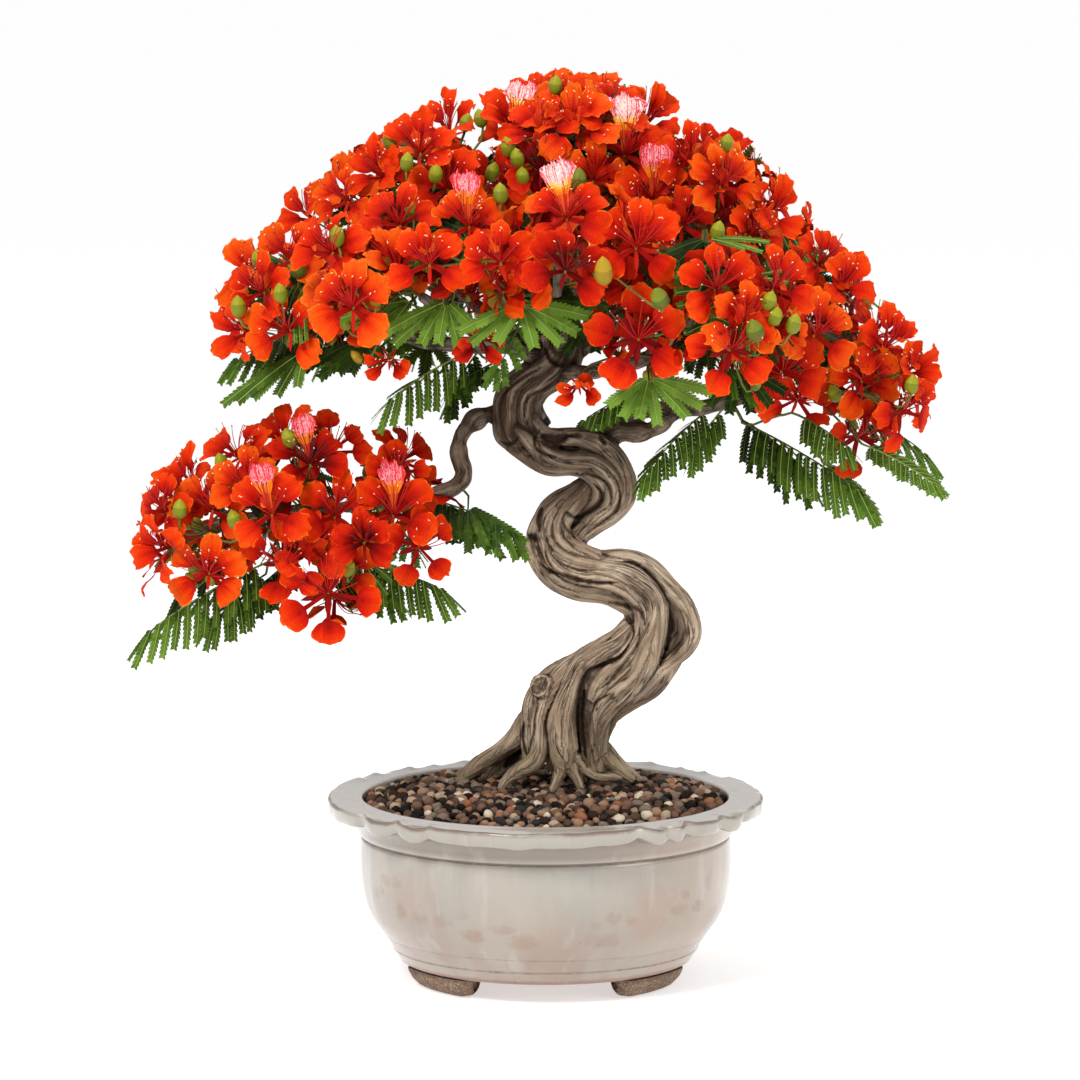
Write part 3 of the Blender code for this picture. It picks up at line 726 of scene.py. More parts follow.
def make_feet():
    mat, tree_, shader = principled("foot_clay", 0.8, spec=0.25)
    g = Graph(tree_)
    pos = g.position()
    z = g.split(pos)[2]
    speck = g.noise(pos, 420.0, 2.0, 0.7)
    coarse = g.noise(pos, 90.0, 3.0, 0.6)
    colour = g.mix(g.span(coarse, 0.3, 0.7), lin(112, 90, 78), lin(140, 116, 98))
    colour = g.mix(g.span(speck, 0.56, 0.66, 0, 0.75), colour, lin(196, 172, 142))
    colour = g.mix(g.span(speck, 0.44, 0.34, 0, 0.7), colour, lin(72, 56, 48))
    # darker near the top of the foot, under the bowl: painted shade
    colour = g.mix(g.span(z, 0.0150, 0.0195, 0, 0.55), colour, lin(92, 66, 58))
    g.link(colour, shader.inputs["Base Color"])
    g.link(g.bump(g.math("ADD", speck, coarse), 0.8, 0.0012), shader.inputs["Normal"])
    for middle, name in ((217.0, "foot_front_left"), (323.0, "foot_front_right"), (90.0, "foot_back")):
        lo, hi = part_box(name)
        top = hi[2]
        rows, cols = 21, 45
        u = np.linspace(-1, 1, cols)
        # heights down the outer face, rounded at the sole
        prof = np.array([(0.0, 1.000, 0.0), (0.0, 0.96, 0.0), (.0004, .90, .000), (.0010, .80, .001),
                         (.0020, .68, .003), (.0034, .55, .008), (.0052, .42, .018), (.0072, .30, .035),
                         (.0092, .19, .058), (.0110, .10, .085), (.0128, .045, .115), (.0145, .012, .150),
                         (.0165, 0.0, .185)])
        outer = []
        for inset, h, tuck in prof:
            half = math.radians(20.0) * (1 - tuck * 1.6)
            a = math.radians(middle) + half * u
            corner = np.clip((np.abs(u) - 0.86) / 0.14, 0, 1)
            r = 0.1462 - inset - 0.012 * corner ** 2.2
            outer.append(np.stack([r * np.cos(a), r * np.sin(a), np.full(cols, top * h)], 1))
        inner = []
        for inset, h, tuck in prof[::-1]:
            half = math.radians(20.0) * (1 - tuck * 1.6)
            a = math.radians(middle) + half * u
            corner = np.clip((np.abs(u) - 0.86) / 0.14, 0, 1)
            r = 0.1125 + inset * 0.4 + 0.006 * corner ** 2.2
            inner.append(np.stack([r * np.cos(a), r * np.sin(a), np.full(cols, top * h)], 1))
        pts = np.array(outer + inner)
        n = len(pts)
        noisy = pts.reshape(-1, 3)
        noisy = noisy + unit(noisy * np.array([1, 1, 0])) * (fbm(noisy * 160, 3, 4) * 0.0005)[:, None] \
            * (noisy[:, 2] > 0.0005)[:, None]
        quads = []
        for k in range(n):
            kk = (k + 1) % n
            for c in range(cols - 1):
                quads.append((k * cols + c, k * cols + c + 1, kk * cols + c + 1, kk * cols + c))
        mesh = mesh_from(name + "_clay", noisy, quads)
        bm = bmesh.new()
        bm.from_mesh(mesh)
        edges = [e for e in bm.edges if e.is_boundary]
        bmesh.ops.holes_fill(bm, edges=edges, sides=0)
        bmesh.ops.recalc_face_normals(bm, faces=bm.faces)
        bm.to_mesh(mesh)
        bm.free()
        mesh.shade_smooth()
        mesh.set_sharp_from_angle(angle=math.radians(55))
        add(name + "_clay", mesh, [mat], [name])


# ------------------------------------------------------------------ gravel
def gravel_level(x, y):
    """Height of the heap's surface: it rises from the wall towards the trunk."""
    r = np.hypot(x, y)
    h = 0.1815 + 0.0085 * smoothstep(0.183, 0.125, r)
    return h + 0.0011 * fbm(np.stack([x * 30, y * 30, 0 * x], -1), 2, 6)


def ball(level):
    bm = bmesh.new()
    bmesh.ops.create_icosphere(bm, subdivisions=level, radius=1.0)
    v = np.array([p.co[:] for p in bm.verts])
    f = np.array([[p.index for p in face.verts] for face in bm.faces])
    bm.free()
    return v, f


def random_turns(n, rng):
    q = unit(rng.normal(size=(n, 4)))
    w, x, y, z = q.T
    return np.stack([
        np.stack([1 - 2 * (y * y + z * z), 2 * (x * y - z * w), 2 * (x * z + y * w)], 1),
        np.stack([2 * (x * y + z * w), 1 - 2 * (x * x + z * z), 2 * (y * z - x * w)], 1),
        np.stack([2 * (x * z - y * w), 2 * (y * z + x * w), 1 - 2 * (x * x + y * y)], 1)], 1)


def make_gravel():
    rng = np.random.default_rng(77)
    tones = [lin(164, 128, 103), lin(122, 92, 74), lin(90, 68, 55), lin(50, 36, 28), lin(25, 21, 20),
             lin(52, 48, 47), lin(188, 164, 138), lin(222, 206, 180), lin(158, 104, 74), lin(130, 114, 100)]
    chance = np.array([.13, .14, .14, .13, .18, .08, .07, .050, .05, .09])
    mats = []
    for i, c in enumerate(tones):
        mats.append(plain("grain_%d" % i, c, 0.80, 0.18))
    v, f = ball(2)
    placed = []

    def scatter(count, low, high, depth, gap):
        grid = {}
        got = 0
        tries = 0
        while got < count and tries < count * 40:
            tries += 1
            r = 0.1795 * math.sqrt(rng.random())
            a = rng.random() * 2 * math.pi
            x, y = r * math.cos(a), r * math.sin(a)
            size = rng.uniform(low, high)
            if r + size * 0.8 > 0.1822:
                continue
            key = (int(x // 0.012), int(y // 0.012))
            ok = True
            for i in (-1, 0, 1):
                for j in (-1, 0, 1):
                    for (ox, oy, osz) in grid.get((key[0] + i, key[1] + j), ()):
                        if math.hypot(x - ox, y - oy) < (size + osz) * gap:
                            ok = False
                            break
                    if not ok:
                        break
                if not ok:
                    break
            if not ok:
                continue
            grid.setdefault(key, []).append((x, y, size))
            placed.append((x, y, depth, size))
            got += 1

    scatter(1060, 0.0042, 0.0069, 0.0, 0.84)      # top layer
    scatter(760, 0.0036, 0.0054, -0.0052, 0.92)   # between and below
    arr = np.array(placed)
    n = len(arr)
    kinds = 24
    shapes = []
    for k in range(kinds):
        d = fbm(v * 1.25 + k * 9.1, 2, 30 + k)
        s = v * (1 + 0.30 * d)[:, None] * rng.uniform(0.78, 1.18, 3)
        # a few flat chips off the sides
        for _ in range(5):
            w = unit(rng.normal(size=3))
            over = np.maximum(s @ w - rng.uniform(0.68, 0.88), 0)
            s = s - over[:, None] * w * 0.92
        shapes.append(s)
    shapes = np.array(shapes)
    turn = random_turns(n, rng)
    pick = rng.integers(0, kinds, n)
    pts = np.einsum("nij,nvj->nvi", turn, shapes[pick]) * arr[:, 3][:, None, None]
    pts[..., 2] *= 0.88
    z = gravel_level(arr[:, 0], arr[:, 1]) + arr[:, 2] + rng.uniform(-0.0012, 0.0014, n) - 0.0006
    pts += np.stack([arr[:, 0], arr[:, 1], z], 1)[:, None]
    tone = rng.choice(len(tones), n, p=chance / chance.sum())
    pile = Pile()
    pile.put(pts, f, np.repeat(tone[:, None], len(f), 1))
    # the bed below the grains, near black: painted shade in the gaps between them
    rad = np.array([0.0001, .03, .06, .09, .12, .145, .165, .1790, .1812])
    seg = 72
    a = np.linspace(0, 2 * np.pi, seg, endpoint=False)
    top = []
    for i, r in enumerate(rad):
        x, y = r * np.cos(a), r * np.sin(a)
        top.append(np.stack([x, y, gravel_level(x, y) - 0.0055], 1))
    side = [(0.1790, 0.1500), (0.1680, 0.1000), (0.1500, 0.0480), (0.1300, 0.0345), (0.0001, 0.0325)]
    for r, h in side:
        top.append(np.stack([r * np.cos(a), r * np.sin(a), np.full(seg, h)], 1))
    bed = np.array(top)
    rows = len(bed)
    faces = []
    for k in range(rows - 1):
        for i in range(seg):
            j = (i + 1) % seg
            faces += [(k * seg + i, (k + 1) * seg + j, k * seg + j), (k * seg + i, (k + 1) * seg + i, (k + 1) * seg + j)]
    mats.append(plain("grain_bed", lin(11, 8, 6), 0.95, 0.05))
    pile.put(bed.reshape(-1, 3), np.array(faces), len(tones))
    mesh = pile.mesh("gravel_grains")
    add("gravel_grains", mesh, mats, ["gravel"])


# ------------------------------------------------------------------ wood
# Strands of the trunk, each drawn where it shows: rows of (picture x, picture y,
# depth Y in metres, radius in metres). The trunk is several stems grown together.
STRANDS = {
    # foot and lower bend
    "front": [(566, 772, .002, .0085), (564, 757, .004, .0135), (562, 736, .008, .0150), (563, 712, .008, .0140),
              (571, 686, .006, .0125), (582, 664, .004, .0120), (600, 650, .004, .0110), (617, 640, .004, .0110),
              (631, 624, .004, .0100)],
    "fork_left": [(564, 764, .001, .0085), (558, 777, -.001, .0060), (553, 789, -.004, .0045), (551, 794, -.006, .0030)],
    "fork_right": [(569, 764, .001, .0080), (576, 776, -.001, .0058), (581, 788, -.004, .0042), (583, 794, -.006, .0030)],
    "fork_side": [(576, 757, .004, .0075), (586, 770, .002, .0055), (598, 777, .002, .0045), (613, 777, .004, .0038),
                  (622, 779, .006, .0025)],
    "left_root": [(499, 792, .004, .0035), (507, 780, .006, .0060), (519, 771, .010, .0085), (534, 763, .012, .0100),
                  (540, 748, .014, .0095), (541, 724, .012, .0095), (546, 701, .012, .0100), (557, 682, .010, .0110),
                  (577, 665, .012, .0122), (600, 651, .016, .0125), (620, 647, .016, .0120), (636, 636, .018, .0120),
                  (643, 618, .018, .0120)],
    "knot_stem": [(526, 764, .024, .0040), (527, 742, .022, .0062), (529, 720, .020, .0085), (534, 702, .018, .0110),
                  (543, 688, .018, .0125), (556, 675, .022, .0130), (577, 664, .026, .0125), (602, 652, .030, .0125), (630, 646, .032, .0120)],
    "far_left_root": [(456, 788, .052, .0040), (463, 779, .052, .0070), (477, 765, .048, .0092), (497, 753, .044, .0098),
                      (514, 740, .040, .0110), (528, 722, .038, .0125), (546, 700, .040, .0125), (566, 682, .044, .0110),
                      (588, 668, .044, .0090)],
    "mid_left_root": [(480, 785, .060, .0050), (500, 768, .058, .0080), (522, 748, .056, .0108), (542, 724, .054, .0120),
                      (560, 700, .052, .0110), (582, 680, .050, .0090)],
    "right_column": [(596, 772, .022, .0110), (598, 752, .024, .0130), (596, 733, .022, .0135), (599, 714, .018, .0150),
                     (610, 698, .012, .0160), (626, 683, .006, .0160), (641, 665, .002, .0152), (650, 640, -.002, .0145),
                     (656, 612, -.004, .0128), (651, 593, -.006, .0125), (636, 580, -.008, .0125), (617, 571, -.008, .0125),
                     (592, 566, -.006, .0125), (566, 560, -.004, .0125), (551, 548, -.002, .0115)],
    "right_root": [(598, 752, .022, .0100), (610, 762, .020, .0078), (622, 772, .020, .0058), (634, 781, .020, .0040)],
    "right_root_2": [(604, 750, .030, .0095), (620, 764, .034, .0062), (634, 775, .036, .0042), (642, 781, .036, .0030)],
    "crevice": [(588, 764, .022, .0085), (585, 738, .022, .0090), (583, 716, .020, .0095), (586, 696, .018, .0105),
                (600, 672, .016, .0125), (620, 656, .014, .0125), (638, 638, .012, .0120), (641, 618, .012, .0115),
                (632, 602, .012, .0115), (612, 590, .014, .0100), (590, 582, .018, .0080)],
    "middle": [(592, 700, .010, .0085), (600, 684, .006, .0095), (614, 668, .002, .0095), (628, 654, -.002, .0095),
               (640, 636, -.004, .0095), (643, 614, -.006, .0095), (635, 597, -.008, .0095), (618, 585, -.010, .0095),
               (597, 579, -.010, .0100), (573, 573, -.008, .0100), (555, 559, -.006, .0095), (547, 541, -.004, .0095)],
    "outer_loop": [(566, 552, .010, .0110), (586, 557, .008, .0100), (604, 559, .004, .0095), (621, 558, .000, .0095),
                   (638, 561, -.002, .0095), (655, 571, -.002, .0092), (671, 588, -.002, .0090), (684, 603, -.002, .0088),
                   (691, 619, -.002, .0090), (693, 634, .000, .0090), (687, 648, .002, .0082), (673, 661, .004, .0072),
                   (659, 672, .004, .0070), (646, 685, .006, .0070), (630, 699, .010, .0070)],
    "loop_back": [(640, 572, .022, .0130), (660, 588, .024, .0140), (676, 606, .026, .0130), (684, 624, .026, .0110),
                  (679, 643, .026, .0110), (671, 658, .026, .0120), (660, 672, .026, .0140), (648, 686, .028, .0140),
                  (630, 699, .030, .0120), (610, 714, .034, .0115), (598, 737, .038, .0115), (594, 762, .040, .0120)],
    "belly": [(530, 540, .012, .0105), (536, 556, .010, .0100), (545, 571, .008, .0105), (559, 583, .008, .0105),
              (580, 591, .008, .0110), (601, 593, .008, .0112), (618, 599, .009, .0112), (634, 611, .011, .0105), (642, 628, .013, .0085)],
    "core_low": [(568, 768, .052, .0200), (568, 750, .048, .0240), (570, 728, .044, .0260), (580, 702, .040, .0270),
                 (600, 682, .037, .0255), (630, 660, .033, .0235), (655, 638, .030, .0215), (659, 614, .028, .0210),
                 (640, 590, .027, .0205), (606, 574, .026, .0180), (572, 564, .027, .0180)],
    "back_1": [(560, 782, .094, .0060), (562, 768, .084, .0110), (568, 740, .072, .0150), (580, 706, .066, .0160),
               (604, 676, .058, .0160), (640, 650, .050, .0150), (662, 622, .046, .0140), (652, 592, .044, .0135),
               (618, 578, .042, .0125), (580, 560, .042, .0120), (552, 540, .042, .0120)],
    "back_2": [(614, 780, .078, .0050), (601, 766, .072, .0095), (590, 740, .066, .0130), (598, 708, .062, .0140),
               (630, 680, .056, .0150), (660, 650, .048, .0150), (672, 620, .040, .0145), (650, 582, .042, .0120),
               (612, 566, .044, .0115), (574, 552, .044, .0115)],
    "back_3": [(506, 780, .086, .0055), (526, 766, .078, .0100), (546, 742, .068, .0140), (556, 712, .062, .0150),
               (576, 686, .058, .0145), (610, 664, .052, .0145), (640, 636, .046, .0130), (644, 608, .044, .0125),
               (612, 588, .042, .0120), (560, 574, .040, .0120), (538, 552, .036, .0110)],
    # waist, between the two bends
    "waist_core": [(560, 556, .027, .0190), (552, 536, .032, .0200), (560, 512, .032, .0190), (584, 497, .030, .0180),
                   (604, 484, .026, .0165), (600, 468, .022, .0165), (574, 453, .020, .0170), (546, 445, .020, .0170),
                   (526, 432, .019, .0160)],
    "waist_right": [(516, 432, .004, .0085), (536, 437, .000, .0095), (558, 436, -.002, .0095), (580, 437, -.004, .0100),
                    (601, 445, -.004, .0110), (617, 460, -.002, .0115), (625, 480, .000, .0118), (623, 499, .004, .0115),
                    (611, 514, .006, .0110), (594, 525, .008, .0105), (578, 537, .006, .0105), (566, 551, .004, .0105)],
    "waist_mid": [(536, 442, -.002, .0080), (548, 454, -.004, .0085), (568, 460, -.006, .0090), (591, 461, -.008, .0092),
                  (607, 471, -.008, .0090), (615, 487, -.006, .0088), (610, 504, -.002, .0085), (597, 515, .002, .0082),
                  (585, 526, .010, .0072), (572, 537, .024, .0060)],
    "waist_inner": [(506, 440, .008, .0080), (523, 453, .002, .0088), (548, 466, .000, .0092), (573, 467, -.002, .0085),
                    (591, 475, -.004, .0078), (600, 489, -.004, .0075), (596, 502, .001, .0072), (585, 513, .010, .0062), (572, 526, .024, .0055)],
    "waist_face": [(600, 466, .018, .0060), (596, 476, .010, .0074), (583, 495, .004, .0085), (570, 508, .000, .0095), (561, 523, -.002, .0100),
                   (563, 538, -.004, .0100), (578, 550, -.004, .0100), (598, 560, -.006, .0100)],
    "waist_left": [(592, 474, .024, .0075), (582, 485, .019, .0085), (552, 504, .012, .0095), (541, 519, .010, .0090), (535, 535, .010, .0090),
                   (538, 552, .010, .0090), (550, 568, .006, .0095)],
    "waist_front": [(588, 480, .016, .0058), (576, 491, .009, .0070), (552, 512, .000, .0085), (546, 528, -.002, .0090), (548, 545, -.004, .0090),
                    (560, 560, -.006, .0095), (580, 572, -.008, .0090)],
    "waist_back_1": [(520, 436, .032, .0120), (550, 452, .036, .0130), (584, 460, .038, .0130), (606, 480, .042, .0130),
                     (596, 502, .046, .0130), (566, 520, .048, .0130), (552, 544, .046, .0130), (572, 562, .044, .0120)],
    "waist_back_2": [(546, 440, .030, .0110), (584, 446, .034, .0120), (612, 466, .036, .0120), (616, 492, .038, .0120),
                     (590, 512, .042, .0120), (558, 534, .044, .0120), (544, 552, .040, .0110)],
    # neck and fork
    "neck_core": [(526, 434, .019, .0150), (520, 418, .019, .0160), (524, 396, .017, .0160), (538, 380, .015, .0155),
                  (554, 366, .012, .0140), (562, 350, .008, .0120), (562, 332, .007, .0100)],
    "neck_left": [(516, 448, .006, .0075), (502, 436, .004, .0085), (500, 418, .002, .0085), (501, 400, .000, .0085),
                  (508, 385, -.002, .0085), (521, 373, -.004, .0085), (538, 362, -.004, .0080), (549, 348, -.004, .0070),
                  (544, 334, -.004, .0060)],
    "neck_front": [(520, 446, -.002, .0070), (511, 432, -.004, .0080), (511, 410, -.006, .0085), (515, 390, -.008, .0085),
                   (530, 375, -.010, .0085), (547, 362, -.010, .0085), (558, 348, -.010, .0080), (566, 334, -.010, .0065)],
    "neck_mid": [(528, 430, -.002, .0080), (524, 412, -.006, .0088), (527, 395, -.008, .0085), (540, 381, -.008, .0085),
                 (556, 368, -.008, .0080), (567, 355, -.008, .0080), (575, 338, -.008, .0065)],
    "neck_right": [(540, 420, .002, .0080), (534, 407, .000, .0085), (541, 393, -.002, .0085), (557, 382, -.002, .0085),
                   (570, 370, -.002, .0085), (576, 355, -.002, .0080), (583, 336, -.002, .0070), (592, 322, -.002, .0060)],
    "neck_back": [(516, 440, .030, .0110), (508, 416, .030, .0110), (512, 392, .028, .0110), (532, 374, .024, .0110),
                  (556, 360, .020, .0100), (566, 340, .018, .0090)],
    "neck_back_2": [(544, 428, .026, .0100), (532, 406, .028, .0110), (542, 388, .026, .0110), (562, 372, .022, .0100),
                    (572, 350, .018, .0090)],
    "wedge": [(515, 428, -.010, .0035), (522, 434, -.012, .0062), (530, 443, -.012, .0068), (536, 453, -.010, .0050),
              (540, 462, -.006, .0030)],
    "neck_hook": [(534, 414, -.004, .0045), (538, 424, -.008, .0050), (548, 432, -.008, .0055), (562, 436, -.008, .0055)],
}
KNOT = (541, 686, .0040)           # sawn branch stub: picture place and depth
BUD_KNOT = (580, 661, -.0080)

# Creases and hollows of the trunk, each drawn where it shows: half width and depth in
# millimetres, then picture places.
CREASES = [
    (1.9, 9, [(620, 562), (633, 563), (644, 569), (654, 579), (663, 592), (669, 608), (670, 624), (667, 647), (660, 665)]),
    (3.6, 7, [(669, 612), (672, 622), (671, 632)]),
    (0.9, 2, [(677, 608), (686, 615), (688, 629), (683, 640), (670, 652), (661, 665)]),
    (2.6, 10, [(629, 645), (619, 658), (601, 665), (587, 672), (581, 688), (578, 710), (578, 733), (581, 754), (588, 767)]),
    (4.2, 8, [(584, 690), (582, 712), (583, 738), (586, 758)]),
    (1.2, 3, [(640, 624), (638, 644), (629, 658), (617, 672), (608, 683), (595, 692)]),
    (1.7, 4, [(592, 712), (596, 703), (602, 698), (612, 693)]),
    (1.8, 6, [(524, 722), (523, 736), (526, 754)]),
    (1.5, 5, [(538, 704), (535, 719), (534, 733), (529, 753)]),
    (1.4, 4, [(561, 683), (554, 701), (546, 720), (547, 737), (549, 753), (547, 765)]),
    (4.5, 10, [(505, 766), (513, 759), (521, 751)]),
    (2.2, 5, [(540, 563), (549, 570), (565, 576), (583, 581), (601, 583), (619, 582)]),
    (1.9, 4, [(608, 602), (627, 606), (640, 611), (645, 624)]),
    (1.5, 4, [(629, 617), (634, 633), (629, 645), (622, 654), (606, 663), (588, 668)]),
    (1.4, 4, [(545, 544), (547, 558), (554, 570)]),
    (1.0, 2, [(551, 544), (554, 558), (569, 567), (586, 570), (604, 570)]),
    (5.6, 11, [(543, 436), (549, 439), (557, 440), (567, 436)]),
    (1.6, 5, [(565, 437), (574, 435), (582, 435)]),
    (1.7, 4, [(540, 430), (535, 437), (536, 448), (547, 455), (555, 457)]),
    (1.5, 4, [(501, 441), (511, 444), (519, 437)]),
    (1.3, 3, [(499, 419), (501, 401), (508, 389), (522, 378), (540, 368)]),
    (1.3, 3, [(524, 419), (526, 401), (533, 394), (544, 389), (558, 379)]),
    (2.0, 5, [(545, 348), (551, 360), (563, 364), (569, 351)]),
    (1.5, 4, [(576, 473), (592, 475), (606, 482), (611, 494), (610, 505), (597, 514)]),
    (2.6, 6, [(594, 484), (601, 491), (601, 501), (592, 510), (576, 517), (565, 512)]),
    (1.4, 4, [(601, 467), (615, 478), (620, 496), (617, 510), (601, 523), (588, 532), (583, 541)]),
    (2.4, 7, [(542, 508), (539, 519), (540, 532)]),
    (3.2, 6, [(529, 535), (538, 539)]),
    (1.4, 3, [(565, 510), (563, 523), (572, 535), (579, 541)]),
    (1.3, 3, [(545, 526), (547, 541), (554, 551)]),
    (2.4, 4, [(600, 436), (605, 444)]),
]

# Painted shade in the hollows and under the bends of the trunk: picture place, half widths across and down, and how
# dark.
PAINTED_SHADE_SPOTS = [(598, 738, 17, 32, .80), (584, 712, 8, 46, .85), (655, 690, 22, 14, .70), (633, 612, 11, 14, .75),
          (583, 508, 15, 24, .85), (676, 634, 9, 22, .85), (561, 432, 24, 9, .60), (508, 760, 14, 9, .60),
          (554, 438, 15, 6, 1.0), (513, 435, 9, 8, .80), (541, 521, 5, 16, .60), (535, 537, 9, 6, .60), (560, 348, 24, 18, .50), (647, 700, 16, 8, .60)]

BOUGH_LINES = {
    # name: rows of (x, y, z, radius), from the trunk outwards
    "low_left": [(-.0110, .012, .5500, .0120), (-.0290, .012, .5590, .0115), (-.0520, .006, .5690, .0095),
                 (-.0700, -.002, .5650, .0098), (-.0830, -.008, .5500, .0092), (-.0860, -.014, .5330, .0088),
                 (-.0815, -.018, .5150, .0086), (-.0850, -.022, .5040, .0086), (-.1020, -.032, .4960, .0080),
                 (-.1450, -.045, .4900, .0066), (-.1900, -.050, .4840, .0056), (-.2500, -.046, .4820, .0046),
                 (-.3100, -.042, .4700, .0034), (-.3500, -.040, .4580, .0024)],
    "right": [(.0560, .022, .5200, .0120), (.0600, .018, .5400, .0125), (.0660, .012, .5580, .0120), (.0790, .004, .5690, .0110),
              (.0960, .000, .5740, .0100), (.1150, -.005, .5760, .0096), (.1400, -.010, .5770, .0090),
              (.1650, -.012, .5800, .0084), (.2100, -.012, .6000, .0072), (.2500, -.010, .6500, .0058),
              (.2900, -.008, .6500, .0042), (.3400, -.006, .6100, .0028)],
    "right_under": [(.0600, .014, .5420, .0100), (.0750, .004, .5520, .0100), (.0920, -.002, .5520, .0092),
                    (.1080, -.006, .5560, .0086), (.1210, -.008, .5680, .0078), (.1340, -.010, .5760, .0070)],
    "left": [(.0180, .016, .5960, .0070), (.0060, .016, .6100, .0095), (-.0130, .010, .6300, .0105), (-.0400, .000, .6410, .0095),
             (-.0750, -.006, .6420, .0090), (-.1100, -.010, .6440, .0080), (-.1450, -.010, .6560, .0074),
             (-.1800, -.010, .6720, .0068), (-.2300, -.008, .6960, .0052), (-.2900, -.006, .6920, .0034)],
    "upper_left": [(.0100, .008, .6300, .0100), (-.0080, .014, .6520, .0092), (-.0250, .018, .6700, .0090),
                   (-.0650, .014, .7050, .0078), (-.1000, .008, .7560, .0062), (-.1300, .002, .8000, .0040)],
    "upper_right": [(.0100, .0065, .6200, .0100), (.0280, .001, .6330, .0098), (.0500, -.002, .6480, .0092),
                    (.1000, .000, .6900, .0078), (.1350, .004, .7450, .0062), (.1560, .004, .7980, .0040)],
    "leader": [(.0200, .006, .6420, .0150), (.0250, .009, .6700, .0130), (.0250, .012, .7050, .0115),
               (.0250, .016, .7400, .0100), (.0250, .018, .7900, .0070), (.0260, .018, .8500, .0040)],
    "front": [(.0120, .008, .6320, .0090), (.0160, -.0300, .6460, .0086), (.0130, -.0800, .6620, .0076),
              (.0110, -.1400, .6950, .0064), (.0110, -.2000, .7400, .0040)],
    "front_left": [(.0000, .010, .6200, .0080), (-.0300, -.0250, .6400, .0078), (-.0700, -.0800, .6600, .0068),
                   (-.1200, -.1500, .7050, .0044)],
    "front_right": [(.0020, .018, .6000, .0060), (.0160, .004, .6110, .0080), (.0440, -.0300, .6160, .0082), (.0900, -.0860, .6320, .0072),
                    (.1450, -.1500, .6800, .0044)],
    "back": [(.0120, .008, .6320, .0100), (.0140, .0550, .6560, .0088), (.0110, .1150, .6800, .0074),
             (.0100, .1950, .7500, .0040)],
    "back_left": [(.0060, .016, .6200, .0080), (-.0300, .0500, .6500, .0076), (-.0750, .0950, .6760, .0066),
                  (-.1300, .1600, .7150, .0042)],
    "back_right": [(.0140, .014, .6260, .0080), (.0500, .0480, .6460, .0076), (.0900, .0950, .6680, .0066),
                   (.1500, .1650, .7050, .0042)],
}


def strand_line(rows):
    pts = [list(at_y(px, py, y)) + [r] for px, py, y, r in rows]
    return even_line(pts, 0.0028)


def joined(tubes):
    """One mesh of many capped tubes."""
    pile = Pile()
    for line, sides in tubes:
        pile.put(tube(line, sides), tube_faces(len(line), sides), 0)
    return pile.mesh("wood")


def remeshed(mesh, voxel, smooth_steps=2):
    """Unite overlapping closed tubes into one even skin of quads."""
    obj = bpy.data.objects.new("to_remesh", mesh)
    SCENE.collection.objects.link(obj)
    mod = obj.modifiers.new("remesh", "REMESH")
    mod.mode = "VOXEL"
    mod.voxel_size = voxel
    mod.adaptivity = 0.0
    if smooth_steps:
        sm = obj.modifiers.new("smooth", "SMOOTH")
        sm.iterations = smooth_steps
        sm.factor = 0.5
    dg = bpy.context.evaluated_depsgraph_get()
    out = bpy.data.meshes.new_from_object(obj.evaluated_get(dg))
    bpy.data.objects.remove(obj)
    return out


def coords(mesh):
    co = np.empty(len(mesh.vertices) * 3, np.float32)
    mesh.vertices.foreach_get("co", co)
    return co.reshape(-1, 3).astype(float)


def normals(mesh):
    n = np.empty(len(mesh.vertices) * 3, np.float32)
    mesh.vertices.foreach_get("normal", n)
    return n.reshape(-1, 3).astype(float)


def edge_pairs(mesh):
    e = np.empty(len(mesh.edges) * 2, np.int32)
    mesh.edges.foreach_get("vertices", e)
    return e.reshape(-1, 2)


def spread(values, edges, steps, count):
    """Average a per-vertex value over its neighbours, several times."""
    deg = np.bincount(edges.ravel(), minlength=count).astype(float)
    deg = np.maximum(deg, 1)
    v = np.array(values, float)
    for _ in range(steps):
        if v.ndim == 1:
            acc = np.bincount(edges[:, 0], v[edges[:, 1]], count) + np.bincount(edges[:, 1], v[edges[:, 0]], count)
            v = 0.5 * v + 0.5 * acc / deg
        else:
            acc = np.stack([np.bincount(edges[:, 0], v[edges[:, 1], j], count)
                            + np.bincount(edges[:, 1], v[edges[:, 0], j], count) for j in range(v.shape[1])], 1)
            v = 0.5 * v + 0.5 * acc / deg[:, None]
    return v


def grain_coordinates(points, lines):
    """For each point: the strand it lies on, the run along it, the way round it and its radius."""
    rows = []
    for k, (line, run) in enumerate(lines):
        t, u, v = carried_frames(line)
        for i in range(len(line)):
            rows.append((k, run[i], *line[i], *t[i], *u[i], *v[i]))
    rows = np.array(rows)
    centres, radii = rows[:, 2:5], rows[:, 5]
    best = np.full(len(points), 9.0)
    pick = np.zeros(len(points), np.int64)
    tree = KDTree(len(centres))
    for i, c in enumerate(centres):
        tree.insert(c, i)
    tree.balance()
    for i, p in enumerate(points):
        for co, j, d in tree.find_n(p, 18):
            q = d - radii[j]
            if q < best[i]:
                best[i] = q
                pick[i] = j
    r = rows[pick]
    off = points - r[:, 2:5]
    along = r[:, 1] + (off * r[:, 6:9]).sum(1)
    ang = np.arctan2((off * r[:, 12:15]).sum(1), (off * r[:, 9:12]).sum(1))
    return r[:, 0], along, ang, r[:, 5], best


def picture_places(p):
    """Where points show in the picture."""
    off = p - EYE
    far = off @ AHEAD
    return np.stack([FRAME / 2 + off[:, 0] / far * PER_METRE, FRAME / 2 - (off @ UPWARD) / far * PER_METRE], 1)


